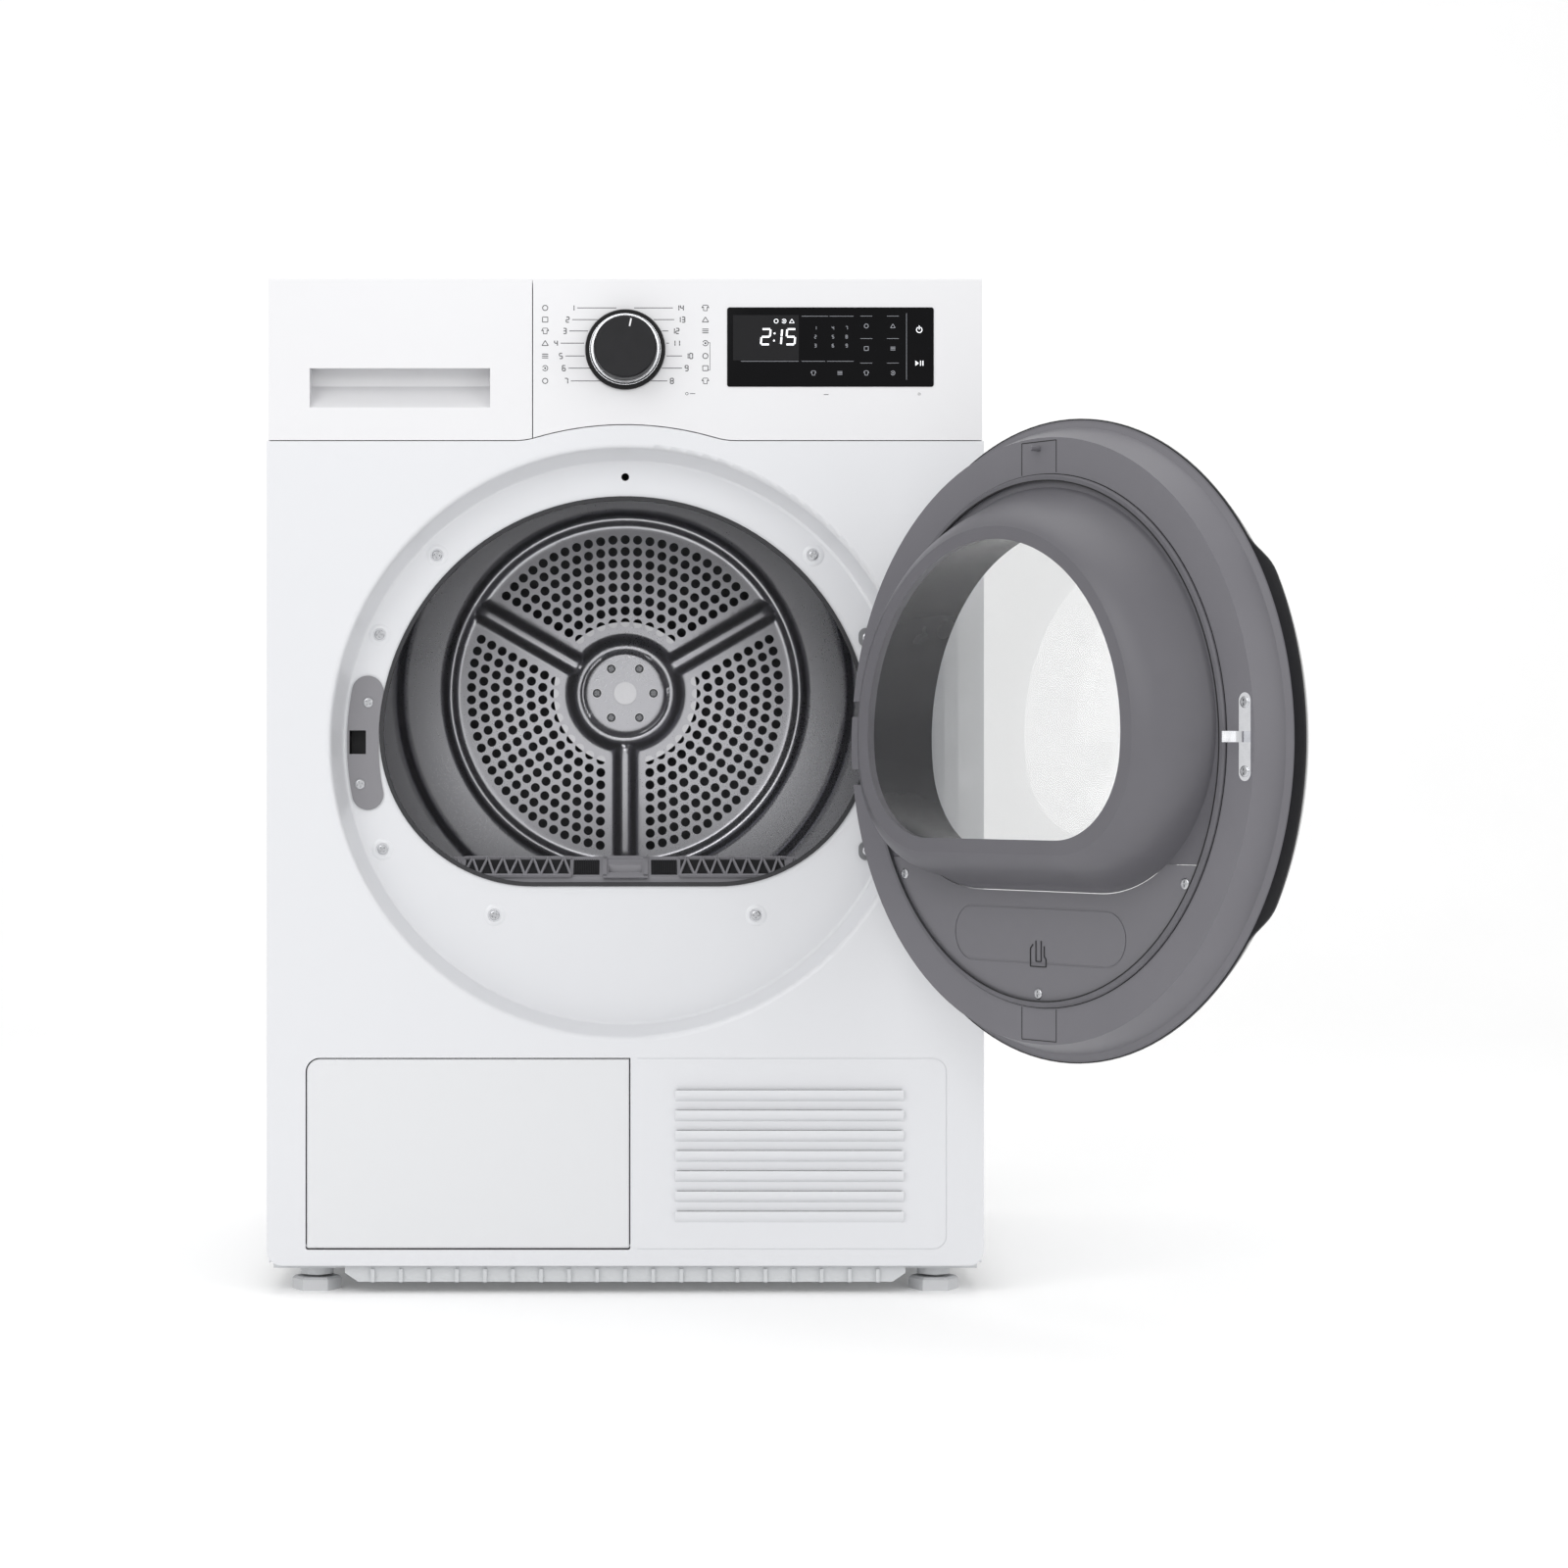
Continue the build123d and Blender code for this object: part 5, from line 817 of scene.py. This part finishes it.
black = Finish("door_black", Coat_Weight=0.1, Coat_Roughness=0.08, Specular_IOR_Level=0.25)
scuff = black.grain(18, 4)
black.set("Base Color", black.mix(scuff, tone(26, 26, 28), tone(38, 38, 41)))
black.set("Roughness", scuff * 0.1 + 0.16)
dress("door_outer_frame", black.material)


def clear(name, colour, roughness=0.02):
    """A clear pane: most light goes straight through, the rest glances off its faces."""
    finish = Finish(name, Roughness=roughness, IOR=1.45, Transmission_Weight=1.0)
    film = finish.grain(12, 2)
    finish.set("Base Color", finish.mix(film, darker(colour, 0.985), colour))
    finish.set("Alpha", film * 0.02 + 0.14)
    return finish.material


outer_pane = clear("outer_pane", tone(236, 240, 241))
dress("door_outer_window", outer_pane)
dress("door_inner_window", outer_pane)


def door_parts(finish):
    """Height over the door's middle, distance to its side and place along its axis, in metres."""
    middle = DOOR_OPEN @ Vector((0, RIM_Y * MM, DOOR_Z * MM))
    across = DOOR_OPEN.to_3x3() @ Vector((1, 0, 0))
    outward = DOOR_OPEN.to_3x3() @ Vector((0, -1, 0))
    x = finish.part(0) - middle.x
    y = finish.part(1) - middle.y
    upward = finish.part(2) - middle.z
    aside = x * across.x + y * across.y
    return upward, aside, x * outward.x + y * outward.y


door_grey = moulded("door_grey", tone(107, 106, 111), 0.38)
dress("door_lower_cover", door_grey)
SEAM_R = 248.4
ring_grey = Finish("ring_grey", Specular_IOR_Level=0.3)
height, aside, along = door_parts(ring_grey)
grip_side = (height * height + aside * aside) ** 0.5 > SEAM_R * MM
haze = ring_grey.grain(9, 2)
fine = ring_grey.grain(1500, 2)
plain_grey = ring_grey.mix(haze, tone(106, 105, 110), tone(114, 113, 118))
ring_grey.set("Base Color", ring_grey.mix(grip_side, plain_grey, tone(30, 30, 32)))
ring_grey.set("Roughness", fine * 0.06 + (0.36 - grip_side * 0.14))
ring_grey.emboss(fine, 0.5, 0.00002)
dress("door_inner_frame", ring_grey.material)

MOUTH_R = 149.5
MOUTH_LIFT = 5.0
MOUTH_FOOT = -76.5
MOUTH_FLARE = 0.19
MOUTH_OUT = -78.5
LIP = 8.0
# Inside the mouth the throat is painted near-black: painted shade in the recess; outside it keeps its grey.
throat = Finish("throat_shaded_mouth", Specular_IOR_Level=0.4)
height, aside, along = door_parts(throat)
lifted = height - MOUTH_LIFT * MM
radius = (lifted * lifted + aside * aside) ** 0.5
flare = (along - MOUTH_OUT * MM) * MOUTH_FLARE
past_lip = along > (MOUTH_OUT + LIP) * MM
mouth_shade_mask = (radius < flare + MOUTH_R * MM) * (height > MOUTH_FOOT * MM - flare) * past_lip
outer_skin = 1.0 - mouth_shade_mask
flow = throat.grain(14, 3)
mouth_painted_shade = throat.mix(flow, tone(38, 38, 41), tone(46, 46, 49))
outside_tone = throat.mix(flow, tone(92, 91, 96), tone(100, 99, 104))
throat.set("Base Color", throat.mix(outer_skin, mouth_painted_shade, outside_tone))
throat.set("Roughness", flow * 0.08 + (0.22 + outer_skin * 0.16))
dress("door_collar", throat.material)
dress("door_seal", rubber("door_seal_grey", tone(92, 91, 96), 0.55))
chrome = Finish("latch_chrome", Metallic=1.0)
polish = chrome.grain(160, 3)
chrome.set("Base Color", chrome.mix(polish, tone(226, 227, 231), tone(246, 247, 250)))
chrome.set("Roughness", polish * 0.1 + 0.08)
dress("latch_hook", chrome.material)
heads = []
out_of_face = DOOR_OPEN.to_3x3() @ Vector((0, 1, 0))
along_face = DOOR_OPEN.to_3x3() @ Vector((1, 0, 0))
for low, high in solids_of("door_screws"):
    middle = (low + high) / 2
    seat = middle - out_of_face * 0.7
    heads.append(screw_head(seat, out_of_face, along_face))
door_heads = make("door_screw_heads", *gather(heads), screw_zinc, "door", "door_screws")
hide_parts("door_screws")

line_black = moulded("line_black", tone(16, 16, 17), 0.6)
plate_line = [(205.05, FACE + 0.1), (205.05, FACE - 0.22), (206.15, FACE - 0.22), (206.15, FACE + 0.1)]
seal_line = [(200.2, FACE - 2.9), (200.2, FACE - 3.25), (201.2, FACE - 3.25), (201.2, FACE - 2.9)]
lines = [hoop(plate_line, on_door, 160), hoop(seal_line, on_door, 160)]
make("door_joint_lines", *gather(lines), line_black, "door", "door_seal", pose=DOOR_OPEN)


def on_face(across, up, out):
    """Point standing `out` off the inner face of the closed door."""
    return on_door(across, up, FACE - out)


COVER_PROUD = 0.9


def on_cover(across, up, out):
    """Point standing `out` off the cover in the foot of the door."""
    return on_door(across, up, FACE - COVER_PROUD - out)


top_tab = ribbon([(-20, 206), (-20, 231), (20, 231), (20, 206)], 0.7, on_face, 0.15)
low_tab = ribbon([(-20, -206), (-20, -231), (20, -231), (20, -206)], 0.7, on_face, 0.15)
make("door_tab_lines", *gather([top_tab, low_tab]), line_black, "door", "door_inner_frame", smooth=False,
     pose=DOOR_OPEN)
garment = ribbon([(-7, -158), (-7, -166), (-9, -168), (-9, -174), (9, -174), (9, -160), (6, -157)], 0.8,
                 on_cover, 0.3)
garment_mid = ribbon([(-3.4, -154), (-3.4, -170), (2.6, -170), (2.6, -154)], 0.8, on_cover, 0.3)
make("cover_mark", *gather([garment, garment_mid]), line_black, "door", "door_lower_cover", smooth=False,
     pose=DOOR_OPEN)

# Rear fittings: a gland where the mains lead would enter and a spigot for a drain hose. Both are
# moulded in black nylon and clipped into holes of the rear sheet.
dress("rear_fittings", moulded("fitting_black", tone(40, 40, 43), 0.45))

# Room: a sweep of pale paper that runs flat under the dryer and curves up behind it, lit by soft
# square lamps. The camera stands square to the front, at mid height.
ROOM = 6.0
SWEEP_START = 2.6
SWEEP_R = 1.2
sweep_points = []
for step in range(25):
    turn = math.radians(90 * step / 24)
    sweep_points.append((SWEEP_START + SWEEP_R * math.sin(turn), SWEEP_R - SWEEP_R * math.cos(turn)))
profile = [(-ROOM, 0.0)] + sweep_points + [(SWEEP_START + SWEEP_R, ROOM)]
verts = [(x, y, z) for x in (-ROOM, ROOM) for y, z in profile]
row = len(profile)
sides = [[i, i + 1, row + i + 1, row + i] for i in range(row - 1)]
floor_mesh = bpy.data.meshes.new("sweep")
floor_mesh.from_pydata(verts, [], sides)
floor_mesh.shade_smooth()
paper = Finish("sweep_paper", Roughness=0.9)
paper.set("Base Color", paper.mix(paper.grain(4, 2), tone(248, 248, 248), tone(252, 252, 252)))
paper.set("Emission Color", (1.0, 1.0, 1.0, 1.0))
paper.set("Emission Strength", 0.07)
floor_mesh.materials.append(paper.material)
floor = bpy.data.objects.new("sweep", floor_mesh)
bpy.context.scene.collection.objects.link(floor)

bpy.context.scene.view_settings.view_transform = "Standard"
world = bpy.data.worlds.new("studio")
world.use_nodes = True
world.node_tree.nodes["Background"].inputs["Color"].default_value = (1.0, 1.0, 1.0, 1.0)
world.node_tree.nodes["Background"].inputs["Strength"].default_value = 0.75
bpy.context.scene.world = world


def lamp(name, place, aim, size, power):
    """A soft square lamp pointed at a place."""
    light = bpy.data.lights.new(name, "AREA")
    light.shape = "SQUARE"
    light.size = size
    light.energy = power
    lamp_object = bpy.data.objects.new(name, light)
    lamp_object.location = place
    lamp_object.rotation_euler = (Vector(aim) - Vector(place)).to_track_quat("-Z", "Y").to_euler()
    bpy.context.scene.collection.objects.link(lamp_object)


lamp("key", (-2.2, -3.4, 2.8), (0, -0.2, 0.45), 2.6, 48)
lamp("fill", (2.8, -3.0, 1.8), (0, -0.2, 0.45), 2.6, 27)
lamp("top", (0, 0.0, 3.4), (0, 0, 0.4), 2.4, 24)
lamp("drum", (-0.2, -3.2, 1.5), (0, 0, 0.52), 0.7, 5)

camera = bpy.data.cameras.new("camera")
camera.sensor_width = 36.0
camera.lens = 82.35
camera.shift_x = 0.10125
camera.shift_y = -0.00625
camera.clip_end = 60.0
camera_object = bpy.data.objects.new("camera", camera)
camera_object.location = (0, -3.3, 0.435)
camera_object.rotation_euler = (math.radians(90), 0, 0)
bpy.context.scene.collection.objects.link(camera_object)
bpy.context.scene.camera = camera_object
